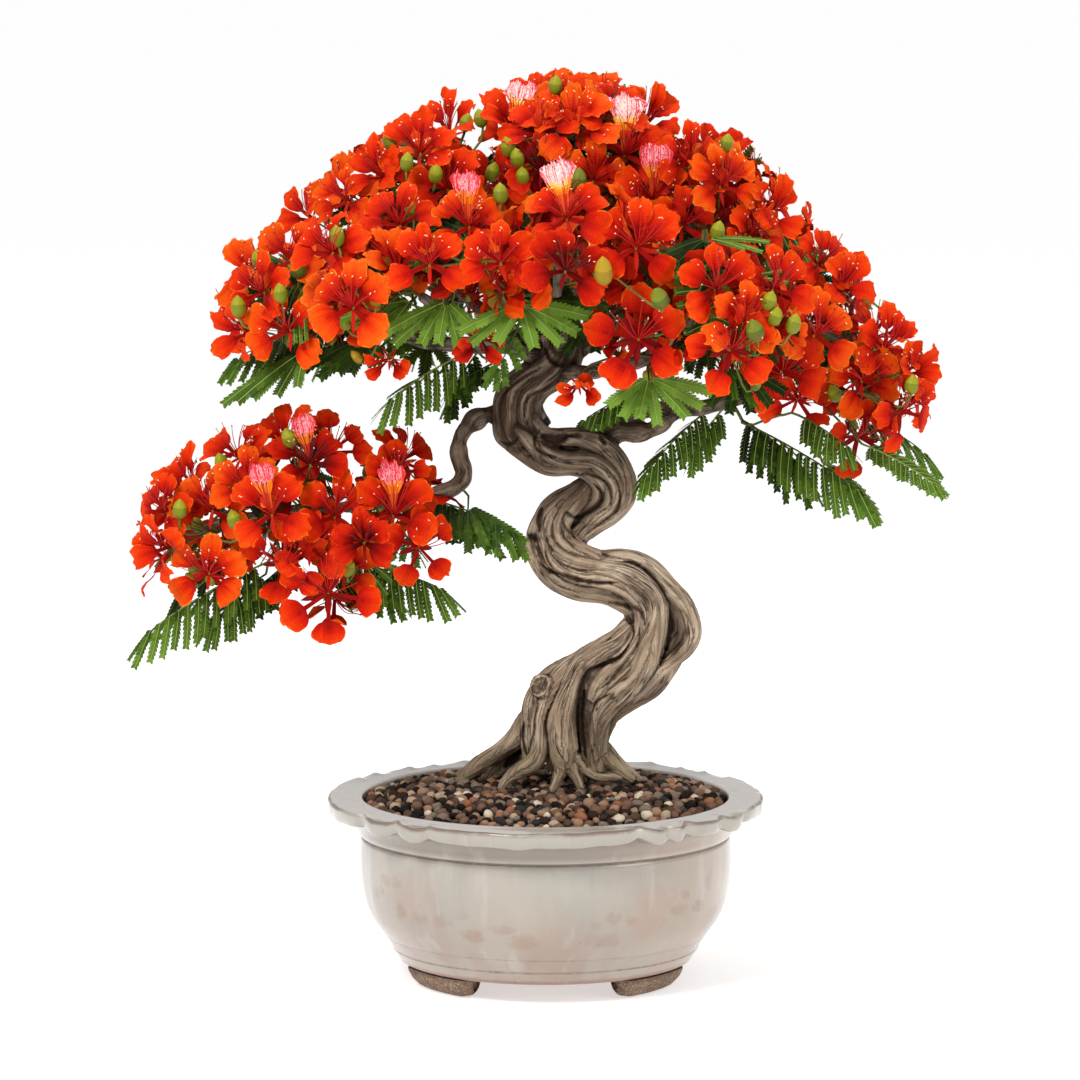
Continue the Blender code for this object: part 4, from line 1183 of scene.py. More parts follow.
def carve(mesh):
    """Press the drawn creases into the side of the wood that shows; gives how far each vertex is from one."""
    p = coords(mesh)
    n = normals(mesh)
    place = picture_places(p)
    mesh.calc_loop_triangles()
    tree = BVHTree.FromPolygons([Vector(v) for v in p], [tuple(t.vertices) for t in mesh.loop_triangles])
    near = np.full(len(p), 9.0)
    push = np.zeros(len(p))
    box = np.concatenate([np.array(c[2]) for c in CREASES])
    some = np.where((n @ AHEAD < 0.15) & np.all(place > box.min(0) - 12, 1) & np.all(place < box.max(0) + 12, 1))[0]
    shows = []
    for i in some:
        way = p[i] - EYE
        d = np.linalg.norm(way)
        hit = tree.ray_cast(Vector(EYE), Vector(way / d), d - 0.003)
        if hit[0] is None:
            shows.append(i)
    shows = np.array(shows)
    q = place[shows]
    for half, depth, pts in CREASES:
        line, _ = even_line([(x, y, 0.0) for x, y in pts], 1.0)
        t = np.linspace(0, 1, len(line))
        taper = 0.25 + 0.75 * np.sin(np.pi * np.clip(t, 0.02, 0.98)) ** 0.7
        taper = taper * (1 + 0.35 * fbm(np.stack([t * len(line) * 0.22, 0 * t + half, 0 * t + depth], 1), 2, 61))
        best = np.full(len(q), 99.0)
        for k, c in enumerate(line):
            d = np.hypot(q[:, 0] - c[0], q[:, 1] - c[1]) / (0.80 * half * taper[k])
            best = np.minimum(best, d)
        near[shows] = np.minimum(near[shows], best)
        push[shows] = np.maximum(push[shows], depth / 1000 * np.exp(-(best / 1.25) ** 2))
    p = p + AHEAD * push[:, None]
    mesh.vertices.foreach_set("co", p.astype(np.float32).ravel())
    mesh.update()
    return np.clip(near, 0, 4)


def bark(mesh, lines, depth, seed, crease):
    """Raise flowing grain on a united skin of wood, and note its folds and grain."""
    p = coords(mesh)
    n = normals(mesh)
    edges = edge_pairs(mesh)
    count = len(p)
    which, along, ang, rad, gap = grain_coordinates(p, lines)
    girth = ang * np.maximum(rad, 0.006)
    wander = fbm(np.stack([along * 22, ang * 0.8, which * 5.3], 1), 2, seed) * 0.0050
    across = girth + wander
    flute = fbm(np.stack([along * 15, across * 105, which * 3.7], 1), 2, seed + 1)
    ridge = 1 - np.abs(fbm(np.stack([along * 12, across * 150, which * 1.9], 1), 2, seed + 2)) * 2.2
    rolls = fbm(np.stack([along * 34, across * 60, which * 4.1], 1), 2, seed + 6)
    scale = np.clip(rad / 0.010, 0.40, 1.25) * depth[which.astype(int)]
    height = scale * (0.00125 * flute - 0.00085 * smoothstep(0.55, 1.0, ridge) + 0.00070 * rolls)
    height += (0.00012 * vnoise(p * 700, seed + 8)) * scale
    # how deep each place lies in a fold
    wide = spread(p, edges, 22, count)
    fold = ((wide - p) * n).sum(1)
    tight = spread(p, edges, 5, count)
    fold_small = ((tight - p) * n).sum(1)
    q = p + n * height[:, None]
    hollow = np.clip(fold / 0.0017, -1.0, 1.0) * 0.60 + np.clip(fold_small / 0.00042, -1, 1) * 0.40
    mesh.vertices.foreach_set("co", q.astype(np.float32).ravel())
    number_attribute(mesh, "fold", spread(hollow, edges, 1, count))
    number_attribute(mesh, "groove", smoothstep(0.45, 0.95, ridge))
    number_attribute(mesh, "crease", crease)
    vector_attribute(mesh, "grain", np.stack([along, across, which * 0.37], 1))
    mesh.update()
    return q, which.astype(int)


def bark_material(name):
    mat, tree_, shader = principled(name, 0.85, spec=0.18)
    g = Graph(tree_)
    pos = g.position()
    fold = g.attribute("fold")
    groove = g.attribute("groove")
    crease = g.attribute("crease")
    dark = g.attribute("dark")
    limb = g.attribute("limb")
    grain = g.attribute("grain", "Vector")
    z = g.split(pos)[2]
    light, mid, dim, deep = lin(210, 190, 166), lin(172, 148, 123), lin(108, 86, 68), lin(26, 18, 13)
    fibre = g.noise(g.scaled(grain, (70, 1300, 40)), 1.0, 3.0, 0.6, 0.3)
    streak = g.noise(g.scaled(grain, (16, 250, 40)), 1.0, 3.0, 0.6, 0.5)
    patch = g.noise(pos, 24.0, 3.0, 0.55, 0.5)
    colour = g.mix(g.span(patch, 0.36, 0.66), mid, light)
    colour = g.mix(g.span(streak, 0.46, 0.68, 0.0, 0.70), colour, dim)
    colour = g.mix(g.span(fibre, 0.54, 0.72, 0.0, 0.45), colour, dim)
    colour = g.mix(g.span(fibre, 0.44, 0.28, 0.0, 0.30), colour, light)
    low = g.math("MULTIPLY", g.span(z, 0.250, 0.205), g.span(patch, 0.25, 0.6, 0.40, 0.85))
    colour = g.mix(low, colour, lin(156, 136, 102))
    # browner and darker up the neck and on the limbs
    high = g.math("MAXIMUM", g.span(z, 0.43, 0.55, 0.0, 0.84), g.math("MULTIPLY", limb, 0.84))
    brown = g.mix(g.span(streak, 0.38, 0.64), lin(106, 84, 67), lin(44, 32, 24))
    colour = g.mix(high, colour, brown)
    shaded = g.math("MULTIPLY", g.span(z, 0.530, 0.590), g.math("MULTIPLY_ADD", limb, 0.55, 0.25))
    colour = g.mix(shaded, colour, lin(36, 27, 21))
    # thin dark cracks that run with the grain and fade in and out
    wave_a = g.noise(g.scaled(grain, (13, 150, 40), (0, 0, 3)), 1.0, 1.5, 0.5, 0.15)
    wave_b = g.noise(g.scaled(grain, (19, 260, 40), (7, 0, 5)), 1.0, 1.5, 0.5, 0.15)
    gate = g.span(g.noise(g.scaled(grain, (26, 60, 40), (2, 0, 9)), 1.0, 2.0, 0.6), 0.38, 0.60)
    off_a = g.math("ABSOLUTE", g.math("SUBTRACT", wave_a, 0.5))
    off_b = g.math("ABSOLUTE", g.math("SUBTRACT", wave_b, 0.46))
    crack_a = g.math("MULTIPLY", g.span(off_a, 0.034, 0.008), gate)
    crack_b = g.math("MULTIPLY", g.span(off_b, 0.028, 0.006), g.math("MULTIPLY_ADD", gate, 0.8, 0.15))
    crack = g.math("MAXIMUM", crack_a, crack_b)
    # painted highlight where the wood bulges out
    colour = g.mix(g.span(fold, -0.20, -0.80, 0.0, 0.38), colour, light)
    # painted shade deep in the folds, broken by streaks
    shade = g.math("MULTIPLY_ADD", g.noise(g.scaled(grain, (30, 300, 40)), 1.0, 2.0), 0.5, -0.25)
    colour = g.mix(g.span(g.math("ADD", fold, shade), 0.02, 0.85, 0.0, 0.88), colour, lin(42, 31, 23))
    colour = g.mix(g.math("MULTIPLY", groove, 0.42), colour, dim)
    colour = g.mix(g.math("MULTIPLY", crack, 0.86), colour, deep)
    # painted shade along the drawn creases between the strands
    ragged = g.math("MULTIPLY_ADD", g.noise(pos, 420.0, 3.0, 0.65), 1.3, -0.65)
    edge = g.math("ADD", crease, g.math("ADD", g.math("MULTIPLY_ADD", fibre, 1.4, -0.70), ragged))
    colour = g.mix(g.span(edge, 2.0, 0.7, 0.0, 0.55), colour, lin(70, 52, 39))
    colour = g.mix(g.span(edge, 0.85, 0.10, 0.0, 0.84), colour, lin(34, 24, 17))
    colour = g.mix(g.span(dark, 0.15, 0.85, 0.0, 0.86), colour, lin(66, 45, 31))
    # painted shade in the hollows, streaked along the grain
    painted_shade_mix = g.math("MULTIPLY", g.attribute("painted_shade"), g.math("MULTIPLY_ADD", streak, 1.3, 0.25), clamp=True)
    colour = g.mix(g.math("MULTIPLY", painted_shade_mix, 0.85), colour, g.mix(g.span(fibre, 0.40, 0.62), lin(86, 64, 47), lin(38, 27, 20)))
    # small dark pores
    pores = g.span(g.cells(g.scaled(pos, (1, 1, 0.6)), 420.0, "F1", 1.0), 0.22, 0.12)
    pore_gate = g.span(g.noise(pos, 60.0, 2.0), 0.48, 0.60)
    colour = g.mix(g.math("MULTIPLY", g.math("MULTIPLY", pores, pore_gate), 0.6), colour, deep)
    g.link(colour, shader.inputs["Base Color"])
    height = g.math("ADD", g.math("MULTIPLY", fibre, 0.7), g.math("MULTIPLY", streak, 0.9))
    height = g.math("SUBTRACT", height, g.math("MULTIPLY", crack, 1.3))
    height = g.math("ADD", height, g.math("MULTIPLY", g.noise(pos, 800.0, 2.0), 0.30))
    g.link(g.bump(height, 0.85, 0.0010), shader.inputs["Normal"])
    return mat


def make_wood():
    """Trunk and limbs as one grown skin, then parted where the limbs leave the trunk."""
    lines = [strand_line(rows) for rows in STRANDS.values()]
    tubes = [(line, 20 if line[:, 3].max() > 0.02 else 14) for line, _ in lines]
    stems = len(lines)
    limbs = []
    for k, (name, rows) in enumerate(BOUGH_LINES.items()):
        line, run = even_line(np.array(rows, float), 0.0030)
        shake = np.stack([fbm(np.stack([run * 24, 0 * run + 3.1 * k, 0 * run + 7 * j], 1), 3, 40 + j) for j in range(3)], 1)
        ease = smoothstep(0.0, 0.03, run) * 0.0050
        if name in ("low_left", "right", "right_under"):
            ease = ease * 0.25
        line[:, :3] += shake * ease[:, None]
        line[:, 3] *= 1 + 0.24 * fbm(np.stack([run * 75, 0 * run + k, 0 * run], 1), 2, 50)
        limbs.append((line, run))
    tubes += [(line, 12) for line, _ in limbs]
    kx = at_y(KNOT[0], KNOT[1], KNOT[2])
    way = unit(np.array([-0.42, -0.86, 0.24]))
    knot = np.array([list(kx + way * d) + [r] for d, r in
                     ((-.014, .0125), (-.006, .0120), (-.0005, .0116), (.0025, .0122), (.0040, .0112))])
    tubes.append((knot, 24))
    bx = at_y(BUD_KNOT[0], BUD_KNOT[1], BUD_KNOT[2])
    bud = np.array([list(bx + np.array([0.1, -1, 0.1]) * d) + [r] for d, r in
                    ((-.006, .0050), (-.002, .0046), (.001, .0040), (.0026, .0028))])
    tubes.append((bud, 12))
    mesh = remeshed(joined(tubes), 0.00179, 1)
    # level cut under the grains
    bm = bmesh.new()
    bm.from_mesh(mesh)
    cut = bmesh.ops.bisect_plane(bm, geom=bm.verts[:] + bm.edges[:] + bm.faces[:], dist=1e-6,
                                 plane_co=(0, 0, 0.1800), plane_no=(0, 0, -1), clear_outer=True)
    edges = [e for e in cut["geom_cut"] if isinstance(e, bmesh.types.BMEdge)]
    bmesh.ops.holes_fill(bm, edges=edges, sides=0)
    bmesh.ops.triangulate(bm, faces=bm.faces)
    bm.to_mesh(mesh)
    bm.free()
    mesh.update()
    crease = carve(mesh)
    depth = np.array([1.0] * stems + [0.75] * len(limbs))
    q, which = bark(mesh, lines + limbs, depth, 11, crease)
    # the sawn face of the stub: a rim, rings and a dark heart
    face = kx + way * 0.0037
    rel = q - face
    out = (rel * way).sum(1)
    side_on = rel - way * out[:, None]
    lean = unit(np.array([0.80, 0.0, 0.60]) - way * way.dot(np.array([0.80, 0.0, 0.60])))
    flat = np.sqrt((side_on ** 2).sum(1) + 0.75 * ((side_on @ np.cross(way, lean)) ** 2))
    flat = flat + 0.0009 * fbm(q * 260, 2, 17)
    on = (flat < 0.0125) & (out > -0.004) & (out < 0.006)
    d = np.zeros(len(q))
    d[on] = -0.0030 * smoothstep(0.0090, 0.0068, flat[on])
    q = q + way * d[:, None]
    dark = np.where(on, np.clip(0.60 * smoothstep(0.0104, 0.0084, flat) + 0.30 * fbm(q * 420, 2, 19)
                                + 0.20 * np.sin(flat * 3300) * smoothstep(0.009, 0.006, flat)
                                + 0.75 * np.exp(-((flat - 0.0098) / 0.0008) ** 2), 0, 1), 0)
    around = (flat > 0.0118) & (flat < 0.0160) & (out > -0.012) & (out < 0.004)
    dark = np.maximum(dark, np.where(around, 0.7 * np.exp(-((flat - 0.0138) / 0.0012) ** 2), 0))
    # wrinkled, torn skin low on the front stem
    wr = at_y(566, 748, -.006)
    near = np.exp(-(((q - wr) / np.array([.018, .022, .013])) ** 2).sum(1))
    waves = np.abs(np.sin((q[:, 2] + 0.0022 * fbm(q * 160, 2, 9) + 0.10 * (q[:, 0] - wr[0]) * np.sin(q[:, 2] * 300)) * 460))
    wrinkle = (1 - smoothstep(0.0, 0.34, waves)) * near * smoothstep(-0.35, 0.05, fbm(q * 90, 2, 10))
    q = q - normals(mesh) * (0.0012 * wrinkle)[:, None]
    dark = np.clip(dark + 0.9 * wrinkle, 0, 1)
    number_attribute(mesh, "dark", dark)
    # painted shade in the hollows
    place = picture_places(q)
    painted_shade = np.zeros(len(q))
    for x, y, rx, ry, force in PAINTED_SHADE_SPOTS:
        painted_shade = np.maximum(painted_shade, force * np.exp(-((place[:, 0] - x) / rx) ** 2 - ((place[:, 1] - y) / ry) ** 2))
    number_attribute(mesh, "painted_shade", painted_shade)
    mesh.vertices.foreach_set("co", q.astype(np.float32).ravel())
    # which side of the joint each place is on
    edges = edge_pairs(mesh)
    side = spread((which >= stems).astype(float), edges, 24, len(q))
    number_attribute(mesh, "limb", np.clip(spread(side, edges, 30, len(q)), 0, 1))
    mesh.update()
    for name, mine, nodes, slot in (
            ("trunk_wood", side < 0.5, ["trunk_base", "trunk_lower", "trunk_middle", "trunk_waist", "trunk_shoulder",
                                        "trunk_top"], "trunk_bark"),
            ("bough_wood", side >= 0.5, ["trunk_leader", "bough_low_left_upper", "bough_low_left_lower", "bough_right",
                                         "bough_left", "bough_upper_left", "bough_upper_right", "bough_front",
                                         "bough_front_right", "bough_back"], "bough_bark")):
        part = mesh.copy()
        bm = bmesh.new()
        bm.from_mesh(part)
        bm.verts.ensure_lookup_table()
        bmesh.ops.delete(bm, geom=[f for f in bm.faces if not mine[f.verts[0].index]], context="FACES")
        seen, drop = set(), []
        for f in bm.faces:
            if f in seen:
                continue
            group, stack = [], [f]
            seen.add(f)
            while stack:
                a = stack.pop()
                group.append(a)
                for e in a.edges:
                    for b in e.link_faces:
                        if b not in seen:
                            seen.add(b)
                            stack.append(b)
            if len(group) < 400:
                drop += group
        bmesh.ops.delete(bm, geom=drop, context="FACES")
        bmesh.ops.holes_fill(bm, edges=[e for e in bm.edges if e.is_boundary], sides=0)
        bmesh.ops.triangulate(bm, faces=[f for f in bm.faces if len(f.verts) > 3])
        for f in bm.faces:
            f.smooth = True
        bm.to_mesh(part)
        bm.free()
        part.name = name
        add(name, part, [bark_material(slot)], nodes)
    return limbs


# ------------------------------------------------------------------ crown
MASSES = ["crown_top", "crown_upper_left", "crown_upper_right", "crown_left", "crown_right",
          "crown_right_tip", "crown_front", "crown_front_left", "crown_front_right", "crown_back",
          "crown_back_left", "crown_back_right", "pad_inner", "pad_middle", "pad_outer", "pad_low"]
FROND_PADS = ["fronds_low_outer", "fronds_low_inner", "fronds_left", "fronds_right", "fronds_low_tip"]
CROWN_HEART = np.array([0.020, 0.010, 0.600])
PAD_HEART = np.array([-0.215, -0.045, 0.440])

# Blooms that show well: picture place of the throat, which way each faces (to the right, up),
# width in millimetres, form, tone, and whether its pale standard shows.
BLOOMS = [
    # crown
    (567, 216, .00, .12, 84, "full", 0, 1), (627, 154, .05, .10, 88, "full", 0, 1),
    (576, 128, -.15, .30, 86, "full", 1, 0), (499, 262, -.10, -.05, 82, "full", 0, 0),
    (566, 270, .05, -.10, 84, "full", 2, 0), (638, 246, .10, -.05, 92, "full", 0, 0),
    (652, 198, .20, .10, 80, "full", 0, 2), (467, 224, -.25, .10, 78, "full", 1, 2),
    (500, 182, -.15, .20, 80, "full", 0, 0), (508, 120, -.05, .90, 78, "side", 0, 1),
    (577, 106, -.20, .75, 78, "side", 0, 0), (690, 162, .35, .25, 80, "full", 0, 0),
    (722, 184, .55, .15, 78, "full", 1, 0), (716, 288, .25, .05, 84, "full", 0, 0),
    (631, 338, -.05, -.10, 98, "near_star", 0, 0), (731, 350, .15, -.15, 88, "star", 0, 0),
    (783, 374, .10, -.20, 94, "full", 0, 0), (816, 336, .35, .10, 88, "full", 1, 0),
    (886, 346, .60, .10, 78, "full", 0, 0), (903, 412, .80, -.15, 84, "open", 0, 0),
    (862, 380, .45, -.05, 80, "full", 1, 0), (848, 284, .70, .35, 76, "side", 0, 0),
    (776, 214, .75, .45, 74, "side", 0, 0), (351, 307, -.10, .00, 92, "full", 1, 0),
    (289, 332, -.35, -.05, 88, "full", 1, 0), (236, 336, -.95, -.10, 72, "side", 0, 0),
    (399, 222, -.15, .15, 84, "full", 0, 0), (447, 188, -.05, .20, 80, "full", 0, 0),
    (374, 170, -.55, .40, 74, "side", 0, 0), (292, 258, -.60, .15, 80, "full", 1, 0),
    (452, 120, -.45, .70, 76, "side", 0, 0), (420, 150, -.30, .45, 76, "full", 0, 0),
    (540, 132, .00, .50, 78, "full", 0, 0), (610, 112, .10, .55, 76, "full", 0, 0),
    (655, 122, .35, .60, 76, "side", 0, 0), (430, 262, -.20, .00, 78, "full", 0, 0),
    (330, 250, -.35, .15, 82, "full", 0, 0), (262, 290, -.70, .05, 76, "full", 0, 0),
    (300, 212, -.75, .40, 70, "side", 0, 0), (345, 200, -.50, .35, 76, "full", 1, 0),
    (775, 288, .50, .20, 80, "full", 0, 0), (820, 262, .60, .30, 76, "full", 0, 0),
    (745, 322, .20, .00, 78, "full", 1, 0), (752, 236, .60, .20, 76, "full", 0, 0),
    (858, 440, .55, -.15, 88, "open", 0, 0), (800, 402, .15, -.30, 76, "full", 0, 0),
    (912, 372, .95, .10, 72, "side", 0, 0), (683, 226, .25, .05, 78, "full", 0, 0),
    (540, 170, .00, .30, 76, "full", 2, 0), (595, 180, .10, .20, 74, "full", 1, 0),
    (381, 372, -.20, -.60, 52, "side", 0, 0), (556, 392, .30, -.70, 50, "side", 0, 0),
    (486, 350, -.10, -.40, 54, "side", 2, 0),
    # low pad
    (328, 592, .05, -.10, 100, "low_star", 0, 0), (364, 544, .10, -.02, 66, "cup", 2, 0),
    (421, 548, .35, -.15, 82, "star", 0, 0), (394, 514, .15, .15, 86, "full", 0, 2),
    (336, 516, .00, .15, 82, "full", 0, 0), (270, 514, -.05, .15, 84, "full", 0, 2),
    (213, 508, -.25, .10, 86, "full", 1, 0), (283, 565, -.05, -.15, 86, "star", 0, 0),
    (209, 574, -.30, -.25, 84, "full", 1, 0), (161, 548, -.80, -.20, 78, "side", 0, 0),
    (311, 462, .05, .35, 78, "full", 2, 2), (339, 440, .10, .10, 76, "tall_a", 0, 0),
    (400, 463, .15, .20, 60, "tall_b", 0, 0), (283, 432, -.20, .70, 72, "side", 0, 0),
    (238, 455, -.35, .50, 78, "full", 0, 0), (187, 474, -.65, .40, 76, "side", 0, 0),
    (165, 510, -.75, .10, 76, "full", 0, 0), (246, 486, -.15, .30, 76, "full", 1, 0),
    (310, 548, .00, .00, 78, "full", 0, 0), (345, 570, .10, -.20, 72, "full", 1, 0),
]

# Buds that show against the sky or between blooms: picture place and tone.
BUDS = [(510, 150, 0), (448, 210, 0), (491, 176, 0), (578, 182, 2), (436, 176, 0), (716, 236, 0), (772, 318, 0),
        (752, 332, 2), (340, 240, 0), (300, 270, 2), (262, 262, 0), (660, 300, 2),
        (392, 144, 0), (484, 122, 0), (519, 160, 0), (525, 178, 0), (556, 90, 0), (412, 208, 0), (766, 303, 0),
        (790, 325, 0), (242, 308, 0), (283, 296, 0), (182, 511, 0), (225, 465, 0), (303, 438, 0), (347, 570, 0),
        (602, 272, 1), (408, 166, 0), (466, 128, 0), (502, 198, 0), (835, 392, 0), (908, 386, 0), (290, 442, 0),
        (238, 520, 0), (240, 566, 0), (724, 148, 0)]

# Fronds that show: picture place and depth of the root and of the tip, tone, length of the
# side stalks in millimetres, pairs of them, and how far they hang.
FRONDS = [
    # under the low pad
    ((268, 562, -.020), (150, 630, -.060), 4, 38, 12, 1.3), ((266, 574, -.010), (214, 618, -.040), 3, 34, 9, 1.2),
    ((356, 566, -.020), (440, 588, -.040), 3, 36, 10, 1.1), ((340, 566, .000), (392, 594, -.010), 2, 30, 8, 1.1),
    ((432, 500, -.050), (512, 532, -.070), 2, 30, 9, 1.0), ((300, 556, .010), (250, 596, .010), 1, 30, 8, 1.2),
    ((420, 500, .010), (470, 516, .020), 0, 34, 8, 1.0),
    # left of the crown
    ((470, 352, -.020), (392, 398, -.050), 4, 36, 9, 1.0), ((478, 352, .030), (450, 396, .030), 2, 28, 6, 1.0),
    # right of the trunk, under the crown
    ((746, 424, -.040), (858, 490, -.085), 3, 38, 13, 0.9), ((742, 420, -.020), (800, 466, -.050), 1, 42, 8, 1.2),
    ((862, 444, -.050), (936, 486, -.070), 4, 17, 12, 0.22), ((710, 409, -.010), (646, 474, -.020), 3, 26, 10, 0.9),
    ((722, 410, .010), (694, 452, .010), 4, 24, 6, 1.0),
    ((800, 416, -.080), (846, 446, -.110), 3, 26, 8, 0.9), ((822, 462, -.030), (874, 514, -.040), 5, 13, 12, 0.3),
    ((648, 390, -.010), (584, 420, .000), 3, 19, 9, 0.9), ((492, 364, .020), (456, 384, .020), 2, 16, 6, 0.9),
    # between the blooms
    ((612, 262, -.190), (586, 240, -.215), 2, 22, 7, 0.3),
]

# Fans of broad side stalks seen end on: picture place and depth of the middle, tone, half width
# in millimetres and the picture places of the tips.
FANS = [
    ((521, 304, -.215), 7, 7.6, [(463, 330), (474, 341), (499, 339), (533, 344), (558, 341), (574, 331), (586, 316)]),
    ((446, 301, -.200), 6, 7.2, [(380, 336), (397, 342), (423, 341), (439, 340), (457, 341), (472, 327)]),
    ((412, 299, -.150), 5, 7.0, [(344, 318), (357, 324), (368, 333), (384, 336)]),
    ((649, 377, -.200), 7, 7.4, [(611, 403), (625, 414), (640, 415), (657, 421), (684, 414), (699, 405), (708, 391)]),
    ((304, 350, -.085), 4, 6.6, [(225, 403), (240, 400), (256, 396), (279, 392), (298, 383)]),
    ((376, 332, -.070), 2, 7.4, [(303, 370), (322, 376), (341, 370), (353, 370), (373, 363)]),
    ((468, 506, -.060), 3, 5.6, [(468, 549), (485, 543), (501, 556), (518, 555), (524, 540)]),
    ((748, 277, -.180), 5, 2.6, [(796, 270), (785, 282)]), ((708, 238, -.200), 6, 3.2, [(766, 242), (759, 251), (742, 248)]),
    ((706, 238, -.170), 1, 6.4, [(658, 258), (666, 274), (684, 290), (702, 286), (717, 270)]),
    ((548, 300, -.160), 2, 6.6, [(560, 330), (584, 334), (600, 322), (604, 306)]),
    ((600, 310, -.120), 1, 7.0, [(612, 352), (596, 348), (580, 340), (566, 352)]),
    ((700, 330, -.140), 1, 6.6, [(676, 352), (690, 362), (708, 360), (664, 334)]),
    ((430, 340, .020), 3, 7.0, [(392, 352), (404, 366), (424, 372), (446, 362)]),
    ((738, 366, -.110), 1, 7.0, [(712, 402), (730, 410), (750, 409), (768, 402), (782, 390)]),
    ((546, 262, -.140), 1, 7.0, [(526, 292), (540, 304), (556, 306), (570, 298)]),
]

LEAF_TONES = [lin(29, 42, 11), lin(38, 55, 14), lin(49, 69, 16), lin(62, 88, 20), lin(78, 108, 27),
              lin(87, 119, 34), lin(98, 133, 40), lin(112, 147, 50)]


class Masses:
    """The solids that stand for flower and leaf: their surface, for rays and sampling."""

    def __init__(self):
        verts, tris, owner = [], [], []
        for k, name in enumerate(MASSES):
            mesh = frame["nodes"][name].data
            base = len(verts)
            verts += [tuple(v.co) for v in mesh.vertices]
            mesh.calc_loop_triangles()
            for t in mesh.loop_triangles:
                tris.append(tuple(base + i for i in t.vertices))
                owner.append(k)
        self.verts = np.array(verts)
        self.tris = np.array(tris)
        self.owner = np.array(owner)
        self.tree = BVHTree.FromPolygons([Vector(v) for v in verts], tris)
        self.centre = np.array([self.verts[self.tris[self.owner == k]].reshape(-1, 3).mean(0)
                                for k in range(len(MASSES))])

    def seen_at(self, px, py):
        """Where the line of sight through a picture place first meets a mass."""
        way = sight(px, py)
        spot, n, i, _ = self.tree.ray_cast(Vector(EYE), Vector(way))
        if spot is None:
            (spot, n, i, far), beyond = self.nearest(px, py)
            # past the edge of the mass it hangs out on its own stalk
            spot = np.array(spot) + (beyond - np.array(spot)) * min(1.0, 0.032 / max(far, 1e-6))
        return np.array(spot), self.outward(np.array(spot), np.array(n), i), i

    def nearest(self, px, py):
        way = sight(px, py)
        best = None
        for d in np.linspace(5.7, 6.3, 61):
            hit = self.tree.find_nearest(Vector(EYE + way * d))
            if best is None or hit[3] < best[0][3]:
                best = (hit, EYE + way * d)
        return best

    def outward(self, p, n, i):
        c = self.centre[self.owner[i]]
        if n.dot(p - c) < 0:
            n = -n
        heart = PAD_HEART if self.owner[i] >= 12 else CROWN_HEART
        return unit(0.55 * n + 0.25 * unit(p - c) + 0.45 * unit(p - heart))

    def open_air(self, p, n, reach=0.055):
        hit = self.tree.ray_cast(Vector(p + n * 0.0035), Vector(n), reach)
        return hit[0] is None

    def buried(self, p, heart):
        """How far a place lies below the surface met on the way in along the line to the heart."""
        out = unit(p - heart)
        hit = self.tree.ray_cast(Vector(p + out * 0.085), Vector(-out), 0.5)
        return -1.0 if hit[0] is None else float((np.array(hit[0]) - p) @ out)

    def scatter(self, count, rng):
        """Even random places on the outer surface with their outward directions."""
        a, b, c = (self.verts[self.tris[:, j]] for j in range(3))
        cross = np.cross(b - a, c - a)
        area = np.linalg.norm(cross, axis=1) / 2
        pick = rng.choice(len(area), count, p=area / area.sum())
        u, v = rng.random(count), rng.random(count)
        over = u + v > 1
        u[over], v[over] = 1 - u[over], 1 - v[over]
        pts = a[pick] + (b - a)[pick] * u[:, None] + (c - a)[pick] * v[:, None]
        ns = unit(cross[pick])
        out = []
        for p, n, i in zip(pts, ns, pick):
            o = self.outward(p, n, i)
            if n.dot(o) < 0:
                n = -n
            if self.open_air(p, n) and self.open_air(p, o, 0.04):
                out.append((p, o, i))
        return out


def facing_frames(axis, up, turn):
    """Frames with Z along the axis and Y as near up as it can be, turned by an angle."""
    z = unit(axis)
    x = np.cross(up, z)
    weak = np.linalg.norm(x, axis=1) < 1e-3
    x[weak] = [1, 0, 0]
    x = unit(x)
    y = np.cross(z, x)
    c, s = np.cos(turn)[:, None], np.sin(turn)[:, None]
    return np.stack([x * c + y * s, y * c - x * s, z], 2)


def held_in(p, axis, wide):
    """The place of a bloom, moved in where its petals would pass the top or the right of the tree."""
    p = np.array(p, float)
    for k, limit in ((2, 0.919), (0, 0.398)):
        end = p[k] + wide * (0.50 * math.sqrt(max(0.0, 1 - axis[k] ** 2)) + 0.34 * max(0.0, axis[k]))
        p[k] -= max(0.0, end - limit)
    return p


